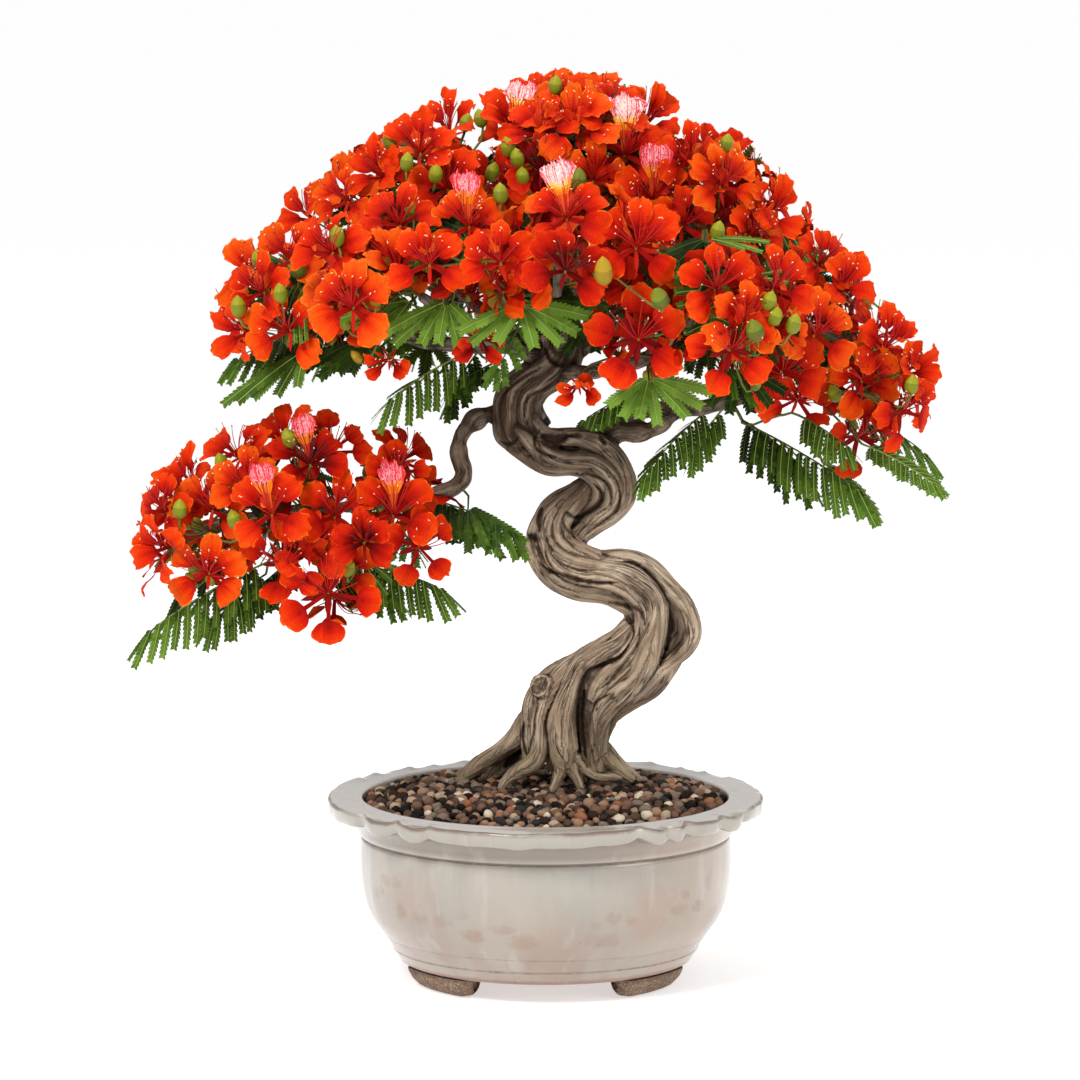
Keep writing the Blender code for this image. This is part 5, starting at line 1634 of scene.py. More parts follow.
def place_blooms(masses):
    """Throat, facing, size, form and tone of every bloom."""
    rng = np.random.default_rng(5150)
    rows = []
    for px, py, fx, fz, wide, form, tone, std in BLOOMS:
        p, n, i = masses.seen_at(px, py)
        view = unit(-AHEAD + np.array([1.0, 0, 0]) * fx * 1.1 + UPWARD * fz * 1.1)
        axis = unit(view * 0.86 + n * 0.22)
        sink = 0.004 if form in ("full", "star", "cup", "open") else 0.016
        rows.append((held_in(p - n * sink, axis, wide / 1000), axis, wide / 1000, form, tone, std,
                     rng.normal(0, 0.12), 0, i))
    centres = [r[0] for r in rows]
    spots = masses.scatter(9000, rng)
    rng.shuffle(spots)

    def room(p, gap):
        c = np.array(centres)
        return np.min(((c - p) ** 2).sum(1)) > gap * gap

    heroes = np.array(centres)
    for gap in (0.058, 0.048):
        for p, n, i in spots:
            own = masses.owner[i]
            if n[2] < -0.30 and (rng.random() < 0.93 or own < 12):
                continue
            if n[2] < -0.05 and rng.random() < 0.60:
                continue
            wide = rng.uniform(0.066, 0.084)
            axis = unit(n + np.array([0, 0, 0.20]) + rng.normal(0, 0.36, 3))
            form = rng.choice(["full", "star", "side", "cup"], p=[.58, .14, .18, .10])
            if -0.12 < p[1] < 0.15 and abs(float(n @ AHEAD)) < 0.50:
                axis = unit(axis - AHEAD * (0.60 if p[1] < 0.08 else 0.85))
            if p[2] > 0.84:
                axis = unit(axis - AHEAD * 0.45)
            facing = float(axis @ n)
            rise = wide * (0.42 * math.sqrt(max(0.0, 1 - facing * facing)) + 0.30 * facing)
            sink = float(np.clip(rise - 0.012 + rng.uniform(-.003, .004) + 0.006 * max(0.0, n[2]), 0.013, 0.036))
            near = math.sqrt(np.min(((heroes - p) ** 2).sum(1)))
            face_on = -float(n @ AHEAD)
            place = picture_places(p[None])[0]
            if near < 0.080:
                sink += 0.010
            if face_on > 0.30 and 400 < place[0] < 720 and near < 0.066:
                continue
            if p[1] < 0.0 and 340 < place[0] < 600 and 292 < place[1] < 350 and own < 12:
                continue
            if own >= 12 and (place[0] > 424 or (p[1] < 0.02 and near < 0.060)):
                continue
            q = held_in(p - n * sink, axis, wide)
            if not room(q, gap):
                continue
            tone = int(rng.choice([0, 1, 2], p=[.50, .36, .14]))
            std = int(rng.random() < 0.08 and p[1] > 0.03)
            rows.append((q, axis, wide, form, tone, std, rng.normal(0, 0.5), 0, i))
            centres.append(q)
        spots = spots[::-1]
    # a second layer behind, seen between the blooms, mostly in the dark tone as painted shade
    got = 0
    for p, n, i in spots:
        if got >= 90:
            break
        if n[2] < -0.15:
            continue
        q = p - n * rng.uniform(0.042, 0.058)
        place = picture_places(q[None])[0]
        if not room(q, 0.038) or (q[1] < 0.0 and 340 < place[0] < 610 and place[1] > 285 and q[2] > 0.55):
            continue
        axis = unit(n + rng.normal(0, 0.55, 3))
        rows.append((q, axis, rng.uniform(0.064, 0.078), "full", int(rng.choice([0, 1, 2], p=[.3, .1, .6])),
                     0, rng.normal(0, 1.0), 1, i))
        centres.append(q)
        got += 1
    # the open cup on the low pad stands out in front of its neighbours
    step = {(364, 544): -0.036, (345, 570): 0.014, (310, 548): 0.010, (336, 516): 0.010, (394, 514): 0.004}
    for k, row in enumerate(BLOOMS):
        if row[:2] in step:
            rows[k] = (rows[k][0] + AHEAD * step[row[:2]],) + tuple(rows[k][1:])
    return rows


def petal_sheets(n, length, half, claw, a0, a1, a2, fold, ruffle, ident, coarse=False, cols=None, spoon=None,
                 stem=None):
    """Sheets (n, rows, cols, 3) of petals lying along +X from the throat, with +Z out of the flower."""
    if coarse:
        ub = np.array([0, .25, .52, .80, 1.0])
        cs = np.array([0])
        t = np.array([-1, -.5, 0, .5, 1.0])
    elif cols:
        ub = np.array([0, .10, .20, .30, .40, .50, .60, .70, .80, .88, .95, 1.0])
        cs = np.array([0, .5])
        t = np.linspace(-1, 1, cols)
        ub = np.array([0, .08, .16, .24, .32, .40, .48, .56, .64, .71, .78, .84, .90, .95, 1.0])
    else:
        ub = np.array([0, .09, .19, .29, .40, .51, .62, .73, .83, .91, .965, 1.0])
        cs = np.array([0, .5])
        t = np.array([-1, -.93, -.78, -.60, -.40, -.20, 0, .20, .40, .60, .78, .93, 1.0])
    cols = len(t)
    spoon = np.zeros(n) if spoon is None else np.asarray(spoon, float)
    claw = np.asarray(claw)[:, None]
    s = np.concatenate([claw * cs[None], claw + (1 - claw) * ub[None]], 1)
    u = np.concatenate([np.zeros((1, len(cs))), ub[None]], 1) * np.ones((n, 1))
    blade = np.concatenate([np.zeros(len(cs)), np.ones(len(ub))])[None]
    ang = a0[:, None] + (a1 - a0)[:, None] * smoothstep(-0.25, 0.35, u) * np.maximum(blade, .25) \
        + (a2 - a1)[:, None] * smoothstep(0.25, 1.0, u)
    mid = 0.5 * (ang[:, 1:] + ang[:, :-1])
    ds = np.diff(s, axis=1) * length[:, None]
    r = np.concatenate([np.zeros((n, 1)), np.cumsum(np.cos(mid) * ds, 1)], 1)
    h = np.concatenate([np.zeros((n, 1)), np.cumsum(np.sin(mid) * ds, 1)], 1)
    sp = spoon[:, None]
    w0, w1 = stem if stem else (0.15 * (1 - sp) + 0.10 * sp, 0.19 * (1 - sp) + 0.14 * sp)
    wedge = w1 + (1 - w1) * smoothstep(-0.06, 0.68, u)
    round_ = w1 + (1 - w1) * np.sqrt(np.clip(1 - (1 - np.clip(u / 0.50, 0, 1)) ** 2, 0, 1))
    grow = wedge * (1 - sp) + round_ * sp
    start = 0.66 * (1 - sp) + 0.50 * sp
    shut = np.sqrt(np.clip(1 - (np.clip(u - start, 0, 1) / (1 - start)) ** 2 * (0.42 * (1 - sp) + 0.80 * sp), 0, 1))
    wide = half[:, None] * np.where(blade > 0, np.where(u < start, grow, shut), w0 + (w1 - w0) * s / claw)
    T = t[None, None, :]
    x = wide[..., None] * T
    tip = np.interp(u[0], [0.0, .60, .79, .90, .965, 1.0], [0.0, 0.02, .07, .14, .21, .27])
    along = -(np.abs(T) ** 2.2) * half[:, None, None] * tip[None, :, None]
    edge = np.maximum(np.abs(T) ** 1.6, smoothstep(0.62, 1.0, u)[..., None]) * smoothstep(0.02, 0.45, u)[..., None]
    flat = np.stack([x / 0.0098, (s * length[:, None])[..., None] * np.ones_like(x) / 0.0098,
                     np.ones_like(x) * ident[:, None, None] * 7.31], -1)
    wave = vnoise(flat, 3) + 0.70 * vnoise(flat * 1.9 + 4.4, 4)
    z = fold[:, None, None] * np.abs(T) ** 1.7 * wide[..., None] + ruffle[:, None, None] * wave * edge
    z = z + 0.0016 * vnoise(flat * 0.8 + 17.3, 8) * smoothstep(0.05, 0.5, u)[..., None]
    z = z - 0.0011 * np.exp(-(T / 0.20) ** 2) * blade[..., None]
    rim = smoothstep(0.55, 1.0, u)[..., None]
    along = along + (vnoise(flat * 1.5 + 9.2, 5) * 0.0036 + vnoise(flat * 3.3 + 1.2, 7) * 0.0036) * rim * (1.0 - 0.45 * sp[..., None])
    x = x * (1 + 0.22 * vnoise(flat * 1.2 + 2.2, 6) * smoothstep(0.5, 1.0, np.abs(T)) * smoothstep(0.15, 0.5, u)[..., None])
    ca, sa = np.cos(ang)[..., None], np.sin(ang)[..., None]
    X = r[..., None] + along * ca - z * sa
    Z = h[..., None] + along * sa + z * ca
    return np.stack([X, x, Z], -1), u[0], blade[0], cols


def turned(points, angle):
    """Turn local points (n, ..., 3) about Z by an angle each."""
    c, s = np.cos(angle), np.sin(angle)
    shape = (len(angle),) + (1,) * (points.ndim - 2)
    c, s = c.reshape(shape), s.reshape(shape)
    x = points[..., 0] * c - points[..., 1] * s
    y = points[..., 0] * s + points[..., 1] * c
    return np.stack([x, y, points[..., 2]], -1)


def to_world(points, frames, centres):
    out = np.einsum("nij,n...j->n...i", frames, points)
    return out + centres.reshape((len(centres),) + (1,) * (points.ndim - 2) + (3,))


FORMS = {  # claw pitch, blade pitch, tip pitch, claw share, breadth, fold, spoon shape
    "full": (34, 11, -34, .37, .370, .04, 0.72), "star": (16, 4, -16, .44, .335, .10, 1.0),
    "cup": (46, 30, -2, .22, .400, .08, 0.30), "side": (62, 44, -8, .34, .330, .08, 0.45),
    "open": (30, -8, -30, .46, .335, .04, 1.0),
    "near_star": (14, 4, -14, .42, .350, .10, 1.0), "low_star": (12, 2, -10, .50, .320, .10, 1.0),
    "tall_a": (14, 4, -10, .50, .330, .10, 1.0), "tall_b": (14, 4, -10, .48, .340, .10, 1.0),
}
WAYS = {  # which way each petal points, in degrees, where that shows plainly
    "low_star": (-9, 78, 146, 211, 276), "tall_a": (36, 93, 130, 215, -4), "tall_b": (8, 88, 168, 236, -58),
}


def make_blooms(masses):
    rows = place_blooms(masses)
    rng = np.random.default_rng(909)
    n = len(rows)
    centre = np.array([r[0] for r in rows])
    axis = np.array([r[1] for r in rows])
    size = np.array([r[2] for r in rows])
    form = [r[3] for r in rows]
    tone = np.array([r[4] for r in rows])
    std = np.array([r[5] for r in rows])
    turn = np.array([r[6] for r in rows])
    back = np.array([r[7] for r in rows])
    P = np.array([FORMS[f] for f in form], float)
    set_star = np.array([f == "near_star" or f in WAYS for f in form])
    turn[set_star] = 0.0
    frames = facing_frames(axis, np.tile([0.0, 0.0, 1.0], (n, 1)), turn)

    sets = [[(142, 9, 3), (170, 16, 2), (188, 24, 2), (203, 35, 2), (213, 48, 3), (220, 60, 4), (228, 92, 18)],
            [(148, 12, 3), (182, 24, 2), (202, 40, 2), (214, 57, 3), (221, 72, 5), (226, 86, 9), (232, 112, 30)],
            [(92, 3, 1), (116, 4, 1), (142, 8, 1), (164, 15, 1), (182, 24, 2), (196, 35, 4), (214, 62, 10)]]
    petal_mats = []
    for k, keys in enumerate(sets):
        keys = np.array([lin(*c)[:3] for c in keys])
        for j, t in enumerate(np.linspace(0, 1, 10)):
            c = [float(np.interp(t, np.linspace(0, 1, len(keys)), keys[:, q])) for q in range(3)]
            petal_mats.append(plain("petal_%d_%d" % (k, j), (*c, 1.0), 0.62, 0.06))

    piles = []

    def petals(which, count_az, offset, pile, coarse=False):
        idx = np.repeat(which, len(count_az))
        az = np.tile(np.array(count_az, float), len(which))
        m = len(idx)
        rng_l = rng
        L = size[idx] * 0.5 * 1.06 * rng_l.uniform(0.93, 1.07, m)
        calm = np.where(set_star[idx], 0.35, 1.0)
        a0 = np.radians(P[idx, 0] + rng_l.normal(0, 7, m) * calm)
        a1 = np.radians(P[idx, 1] + rng_l.normal(0, 12, m) * calm)
        a2 = np.radians(P[idx, 2] + rng_l.normal(0, 20, m) * calm)
        half = size[idx] * P[idx, 4] * 0.5 * rng_l.uniform(0.90, 1.12, m)
        claw = np.clip(P[idx, 3] + rng_l.normal(0, 0.02, m), .14, .56)
        fold = P[idx, 5] + rng_l.normal(0, 0.10, m)
        ruffle = rng_l.uniform(0.0036, 0.0062, m) * (1 - 0.45 * P[idx, 6])
        upright = np.abs(az - np.pi / 2) < 0.1
        narrow = upright & ~set_star[idx]
        half = np.where(narrow, half * rng_l.uniform(0.55, 0.85, m), half)
        a1 = np.where(narrow, a1 + 0.16, a1)
        # petals lengthen where they are pitched, so that the flower keeps its width
        L = L / np.clip(np.cos(a1 * 0.6), 0.72, 1.0)
        sheet, u, blade, cols = petal_sheets(m, L, half, claw, a0, a1, a2, fold, ruffle,
                                             rng_l.uniform(0, 900, m), coarse, spoon=P[idx, 6])
        sheet[..., 0] += 0.0016
        roll = np.radians(rng_l.normal(0, 9, m))
        cr, sr = np.cos(roll)[:, None, None], np.sin(roll)[:, None, None]
        y, z = sheet[..., 1].copy(), sheet[..., 2].copy()
        sheet[..., 1], sheet[..., 2] = y * cr - z * sr, y * sr + z * cr
        starry = (P[idx, 6] > 0.9) & ~upright
        az = np.where(starry, az + np.interp(az, np.radians([34, 146, 208, 327]), np.radians([-3, 20, 38, -6])), az)
        for kind, ways in WAYS.items():
            mine = np.array([f == kind for f in form])[idx]
            az = np.where(mine, np.interp(az, np.radians([31, 90, 166, 246, 321]), np.radians(ways)), az)
        sheet = turned(sheet, az + rng_l.normal(0, 0.11, m) * calm)
        world = to_world(sheet, frames[idx], centre[idx])
        R = sheet.shape[1]
        faces = grid_faces(R, cols)
        fr, fc = grid_rows(R, cols)
        # redder towards the throat, in streaks that run out along the petal
        if coarse:
            streaks = np.zeros(cols - 1)
        else:
            streaks = np.array([.08, .05, .00, .05, -.02, -.11, -.11, -.02, .05, .00, .05, .08])
        lean = rng_l.uniform(-0.09, 0.09, (m, 1)) + 0.10 * (rng_l.random((m, cols - 1)) - 0.5)[:, fc]
        v = np.clip(u[fr][None] + (streaks[fc] + lean) * smoothstep(0.0, 0.25, u[fr])[None], 0, 1)
        zone = np.interp(v, [0, .08, .22, .38, .56, .80, 1.0], [.6, 1.8, 3.4, 5.0, 6.5, 7.8, 8.6]).astype(int)
        zone = np.where(blade[fr][None] == 0, 0, zone)
        if not coarse:
            margin = (((fc == 0) | (fc == cols - 2)) & (u[fr] > 0.30)) | (fr == R - 2)
            zone = np.where(margin[None] & (rng_l.random(zone.shape) < 0.75), 9, zone)
        mats = zone + 10 * tone[idx][:, None]
        pile.put(world.reshape(m, -1, 3), faces, mats)

    outer = np.where(back == 0)[0]
    showy = outer[std[outer] > 0]
    shy = outer[std[outer] == 0]
    ring4 = np.radians([34, 146, 208, 327])
    halves = np.array_split(outer, 2)
    for part in halves:
        pile = Pile()
        petals(part, ring4, 0, pile)
        piles.append(pile)
    plain_fifth = Pile()
    petals(shy, np.radians([90]), 0, plain_fifth)
    inner = np.where(back == 1)[0]
    petals(inner, np.radians([90, 34, 146, 208, 327]), 0, plain_fifth, coarse=True)
    piles.append(plain_fifth)
    for k, pile in enumerate(piles):
        add("petals_%s" % "abcd"[k], pile.mesh("petals_%s" % "abcd"[k]), petal_mats,
            [MASSES[:6], MASSES[6:12], MASSES[12:]][k])

    # pale standards
    std_mats = [plain("standard_red", lin(190, 26, 22), 0.6, 0.1), plain("standard_orange", lin(238, 122, 18), 0.6, 0.1),
                plain("standard_yellow", lin(246, 184, 62), 0.6, 0.1), plain("standard_white", lin(240, 216, 206), 0.6, 0.1),
                plain("standard_pink", lin(236, 152, 160), 0.6, 0.1), plain("standard_rose", lin(214, 66, 84), 0.6, 0.1),
                plain("standard_scarlet", lin(216, 50, 36), 0.6, 0.1)]
    m = len(showy)
    cols = 37
    L = size[showy] * rng.uniform(0.64, 0.70, m)
    slim = np.where((centre[showy][:, 0] < -0.09) & (centre[showy][:, 2] < 0.60), 0.80, 1.0)
    L = L * (0.5 + 0.5 * slim)
    a0 = np.radians(rng.normal(34, 5, m))
    a1 = np.radians(rng.normal(24, 6, m))
    a2 = np.radians(rng.normal(2, 8, m))
    sheet, u, blade, cols = petal_sheets(m, L, size[showy] * .205 * slim, np.full(m, .40), a0, a1, a2,
                                         np.full(m, 0.16), np.full(m, 0.0034), rng.uniform(0, 900, m), cols=cols,
                                         spoon=np.full(m, 0.12), stem=(0.14, 0.34))
    sheet[..., 0] += 0.0016
    lobes = np.cos(np.linspace(-1, 1, cols) * np.pi * 8.0) + 0.5 * rng.normal(0, 1, cols)
    sheet[:, -1, :, 0] += 0.0012 * lobes
    sheet[:, -2, :, 0] += 0.0006 * lobes
    sheet = turned(sheet, np.full(m, np.pi / 2) + rng.normal(0, 0.05, m))
    world = to_world(sheet, frames[showy], centre[showy])
    R = sheet.shape[1]
    fr, fc = grid_rows(R, cols)
    uu = u[fr]
    mid = np.abs(fc - (cols - 2) / 2) / ((cols - 2) / 2)
    by_col = rng.random((5, m, cols - 1))[:, :, fc]
    fleck = rng.random((2, m, len(fr)))
    v = uu[None] + 0.12 * (1 - mid)[None] - 0.12
    zone = np.where(v < 0.02 + 0.14 * by_col[0], 1, np.where(v < 0.16 + 0.20 * by_col[1], 2, 3))
    zone = np.where((blade[fr] == 0)[None], np.where(by_col[2] < 0.70, 6, 1), zone)
    zone = np.where((by_col[3] < 0.20) & (v < 0.16 + 0.30 * by_col[2]), 0, zone)
    pale = zone == 3
    zone = np.where(pale & (by_col[4] < 0.26) & (v > 0.30), np.where(fleck[0] < 0.65, 5, 4), zone)
    zone = np.where(pale & (by_col[4] >= 0.26) & (fleck[0] < 0.16 + 0.50 * mid[None] + 0.25 * uu[None] ** 3), 4, zone)
    zone = np.where(((mid > 0.86) | (fr >= R - 2))[None] & (v > 0.06) & (fleck[1] < 0.55), 5, zone)
    mats = zone
    rosy = std[showy] == 2
    swap = np.array([0, 1, 1, 4, 5, 6, 6])
    mats[rosy] = swap[mats[rosy]]
    pile = Pile()
    pile.put(world.reshape(m, -1, 3), grid_faces(R, cols), mats)
    add("standards", pile.mesh("standards"), std_mats, ())

    # stamens: ten long threads each, with an anther at the end
    idx = np.repeat(outer, 10)
    k = np.tile(np.arange(10), len(outer))
    m = len(idx)
    phi = (k - 4.5) / 4.5 * 1.55 + rng.normal(0, 0.16, m)
    spread_ = np.where(np.array(form)[idx] == "side", 0.45, 0.72)
    lift = 0.34
    d = np.stack([np.sin(phi) * spread_, np.cos(phi) * spread_ * 0.8 + lift * rng.uniform(.3, 1.1, m), np.full(m, 0.80)], 1)
    d = unit(d + rng.normal(0, 0.07, (m, 3)))
    L = size[idx] * rng.uniform(0.34, 0.46, m)
    s = np.linspace(0, 1, 6)[None, :, None]
    p0 = np.zeros((m, 1, 3))
    p0[:, 0, :2] = np.stack([np.sin(phi), np.cos(phi)], 1) * 0.0012
    p1 = p0 + (np.array([0, 0, 0.45]) + d * 0.18)[:, None] * L[:, None, None]
    up = np.array([0, 0.16, 0.02])
    p2 = (d + up)[:, None] * L[:, None, None]
    line = (1 - s) ** 2 * p0 + 2 * s * (1 - s) * p1 + s * s * p2
    t = unit(np.gradient(line, axis=1))
    ref = np.zeros_like(t)
    ref[..., 0] = 1.0
    a = unit(np.cross(t, ref))
    b = np.cross(t, a)
    ang = np.array([0, 2.094, 4.189])
    rad = np.linspace(0.00070, 0.00044, 6)[None, :, None, None]
    ring = line[:, :, None] + rad * (np.cos(ang)[None, None, :, None] * a[:, :, None]
                                     + np.sin(ang)[None, None, :, None] * b[:, :, None])
    world = to_world(ring, frames[idx], centre[idx])
    thread = Pile()
    thread_f = tube_faces(6, 3, cap=False)
    thread.put(world.reshape(m, -1, 3), thread_f, np.where(tone[idx] == 2, 1, 0)[:, None] * np.ones((1, len(thread_f)), int))
    anther_v = np.array([(1, 0, 0), (-1, 0, 0), (0, 1, 0), (0, -1, 0), (0, 0, 1), (0, 0, -1)], float)
    anther_v = anther_v * [.00075, .00075, .0019]
    anther_f = np.array([(0, 2, 4), (2, 1, 4), (1, 3, 4), (3, 0, 4), (2, 0, 5), (1, 2, 5), (3, 1, 5), (0, 3, 5)])
    turnm = random_turns(m, rng)
    ends = to_world(line[:, -1:], frames[idx], centre[idx])[:, 0]
    av = np.einsum("nij,vj->nvi", turnm, anther_v) + ends[:, None]
    shade = rng.choice([2, 3], m, p=[.72, .28])
    thread.put(av, anther_f, shade[:, None] * np.ones((1, 8), int))
    add("stamens", thread.mesh("stamens"),
        [plain("stamen_red", lin(186, 16, 10), 0.5, 0.3), plain("stamen_dark", lin(110, 6, 8), 0.5, 0.3),
         plain("anther_pale", lin(240, 204, 150), 0.6, 0.2), plain("anther_brown", lin(96, 44, 26), 0.6, 0.2)],
        ())

    # sepals, between the petals, and the green cup under them
    idx = np.repeat(outer, 5)
    az = np.tile(np.radians([54, 126, 198, 270, 342]), len(outer)) + rng.normal(0, 0.06, len(outer) * 5)
    m = len(idx)
    L = size[idx] * rng.uniform(0.235, 0.285, m)
    rows_s = np.array([0, .22, .5, .78, 1.0])
    prof = np.array([.45, .85, 1.0, .68, .06])
    pitch = np.radians(rng.normal(10, 9, m))
    bend = np.radians(rng.normal(-28, 10, m))
    t = np.array([-1.0, 0.0, 1.0])
    angs = pitch[:, None] + bend[:, None] * rows_s[None]
    r = np.concatenate([np.zeros((m, 1)), np.cumsum(np.cos(angs[:, 1:]) * np.diff(rows_s)[None] * L[:, None], 1)], 1)
    h = np.concatenate([np.zeros((m, 1)), np.cumsum(np.sin(angs[:, 1:]) * np.diff(rows_s)[None] * L[:, None], 1)], 1)
    starry = np.isin(np.array(form)[idx], ("star", "open", "near_star", *WAYS))
    L = np.where(starry, L * 1.12, L * 0.92)
    w = (size[idx] * np.where(starry, 0.036, 0.025))[:, None] * prof[None]
    sheet = np.stack([r[..., None] + 0 * t, w[..., None] * t, h[..., None] - 0.35 * np.abs(t) * w[..., None] - 0.0008], -1)
    sheet = turned(sheet, az)
    world = to_world(sheet, frames[idx], centre[idx])
    pile = Pile()
    pile.put(world.reshape(m, -1, 3), grid_faces(5, 3),
             np.where(starry | (tone[idx] == 2), 1, 0)[:, None] * np.ones((1, 16), int))
    # cup
    ring6 = np.linspace(0, 2 * np.pi, 7)[:-1]
    prof = [(-.0095, .0013), (-.0075, .0024), (-.0035, .0036), (-.0004, .0030)]
    cup = np.array([[(r_ * math.cos(a_), r_ * math.sin(a_), z_) for a_ in ring6] for z_, r_ in prof]).reshape(-1, 3)
    allc = np.concatenate([outer, inner])
    world = to_world(np.repeat(cup[None], len(allc), 0), frames[allc], centre[allc])
    pile.put(world, tube_faces(4, 6), 2)
    add("sepals", pile.mesh("sepals"),
        [plain("sepal_red", lin(190, 26, 10), 0.6, 0.1), plain("sepal_dark", lin(126, 8, 10), 0.6, 0.1),
         plain("cup_green", lin(120, 128, 36), 0.5, 0.3)], ())
    return centre, axis, size, back, [r[8] for r in rows]


# ------------------------------------------------------------------ fronds
DOWN = np.array([0.0, 0.0, -1.0])


def straps(base, D, plen, N, S, lean_out, bend, leaf, step, rng):
    """Side stalks set with leaflets: leaflet corners, their stalk and place on it, and flat ribs."""
    count = len(base)
    n = max(7, int(round(plen.mean() / step)))
    v = (np.arange(n) + 0.55) / n

    def line(q):
        return (base[:, None] + plen[:, None, None] * (D[:, None] * q[None, :, None] + bend[:, None] * q[None, :, None] ** 2))

    pts = line(v)
    tan = unit(D[:, None] + 2 * bend[:, None] * v[None, :, None])
    out = unit(N * (1 - lean_out) + S * lean_out + rng.normal(0, 0.08, N.shape))[:, None]
    nl = unit(out - tan * (tan * out).sum(-1, keepdims=True))
    across = np.cross(tan, nl)
    gap = (plen / n)[:, None, None] * np.linalg.norm(D[:, None] + 2 * bend[:, None] * v[None, :, None], axis=-1,
                                                     keepdims=True)
    ll = leaf * (0.66 + 0.34 * np.sin(np.pi * (0.06 + 0.80 * v)))[None, :, None] * rng.uniform(.90, 1.10, (count, n, 1))
    leaflets, tags = [], []
    lean = math.radians(60)
    for hand in (-1, 1):
        E = unit(tan * math.cos(lean) + across * hand * math.sin(lean) - nl * 0.10)
        along = tan * gap
        b1, b2 = pts - along * .52, pts + along * .52
        m1, m2 = pts + E * ll * .76 - along * .50, pts + E * ll * .76 + along * .46
        tip = pts + E * ll + along * .12
        leaflets.append(np.stack([b1, b2, m1, m2, tip], 2).reshape(-1, 5, 3))
        tags.append(np.stack([np.repeat(np.arange(count), n), np.tile(v, count)], 1))
    q = np.linspace(0, 1, 5)
    rib = line(q)
    tr = unit(D[:, None] + 2 * bend[:, None] * q[None, :, None])
    nr = unit(out - tr * (tr * out).sum(-1, keepdims=True))
    half = np.cross(tr, nr) * 0.00042
    rib = rib + nr * 0.0007
    ribs = np.stack([rib + half, rib - half], 2).reshape(count, -1, 3)
    return np.concatenate(leaflets), np.concatenate(tags), ribs


def grow_frond(root, tip, face, reach, pairs, bow, droop, rng, leaf=0.0056):
    """One feathery leaf from root to tip: leaflets with their place, ribs and stalk, in the shared frame."""
    length = np.linalg.norm(tip - root)
    mid = (root + tip) / 2 - DOWN * bow * length + rng.normal(0, 0.02, 3) * length
    s = np.linspace(0, 1, 26)[:, None]
    spine = (1 - s) ** 2 * root + 2 * s * (1 - s) * mid + s * s * tip
    T = unit(np.gradient(spine, axis=0))
    f = np.repeat(np.linspace(0, 1, pairs), 2)
    side = np.tile([-1.0, 1.0], pairs)
    at = np.clip(0.12 + 0.88 * f + rng.normal(0, 0.006, len(f)), 0.04, 1.0)
    where = lambda a: np.stack([np.interp(at, s[:, 0], a[:, j]) for j in range(3)], 1)
    base, t = where(spine), unit(where(T))
    N = unit(face - t * (t @ face)[:, None])
    S = np.cross(t, N) * side[:, None]
    spread_a = np.radians(np.interp(f, [0, .7, 1], [80, 62, 20]) + rng.normal(0, 4, len(f)))[:, None]
    D = t * np.cos(spread_a) + S * np.sin(spread_a)
    hang = droop * rng.uniform(0.8, 1.2, (len(f), 1)) * np.interp(f, [0, 1], [1.0, 0.55])[:, None]
    D = unit(D + DOWN * hang)
    plen = reach * (0.66 + 0.34 * np.sin(np.pi * (0.14 + 0.72 * f))) * rng.uniform(.90, 1.10, len(f))
    bend = DOWN * 0.16 + t * 0.10
    v, tags, ribs = straps(base, D, plen, N, S, min(0.85, 0.55 * droop), bend, leaf, 0.0034, rng)
    rod_line = np.concatenate([spine, np.linspace(.0011, .0005, 26)[:, None]], 1)[::3]
    return v, tags, ribs, tube(rod_line, 4), len(rod_line)


def grow_fan(middle, tips, half, rng):
    """A leaf seen end on: broad side stalks that part from nearly one place."""
    ends = np.array([at_y(px, py, middle[2] + rng.uniform(-.022, -.004)) for px, py in tips])
    root = at_y(*middle)
    away = ends - root
    plen = np.linalg.norm(away, axis=1)
    base = root + away / plen[:, None] * 0.004
    D = unit(away) - DOWN * 0.10
    N = np.tile(unit(-AHEAD * 1.0 + UPWARD * 0.25), (len(ends), 1)) + rng.normal(0, 0.14, (len(ends), 3))
    bend = np.tile(DOWN * 0.10, (len(ends), 1))
    v, tags, ribs = straps(base, D, plen * 0.98, N, N, 0.0, bend, half / 1000 * 1.12, 0.0038, rng)
    back = root + np.array([0.0, 0.045, 0.004])
    rod_line = np.concatenate([np.linspace(back, root - np.array([0, .006, .004]), 6), np.linspace(.0011, .0008, 6)[:, None]], 1)
    return v, tags, ribs, tube(rod_line, 4), 6, back


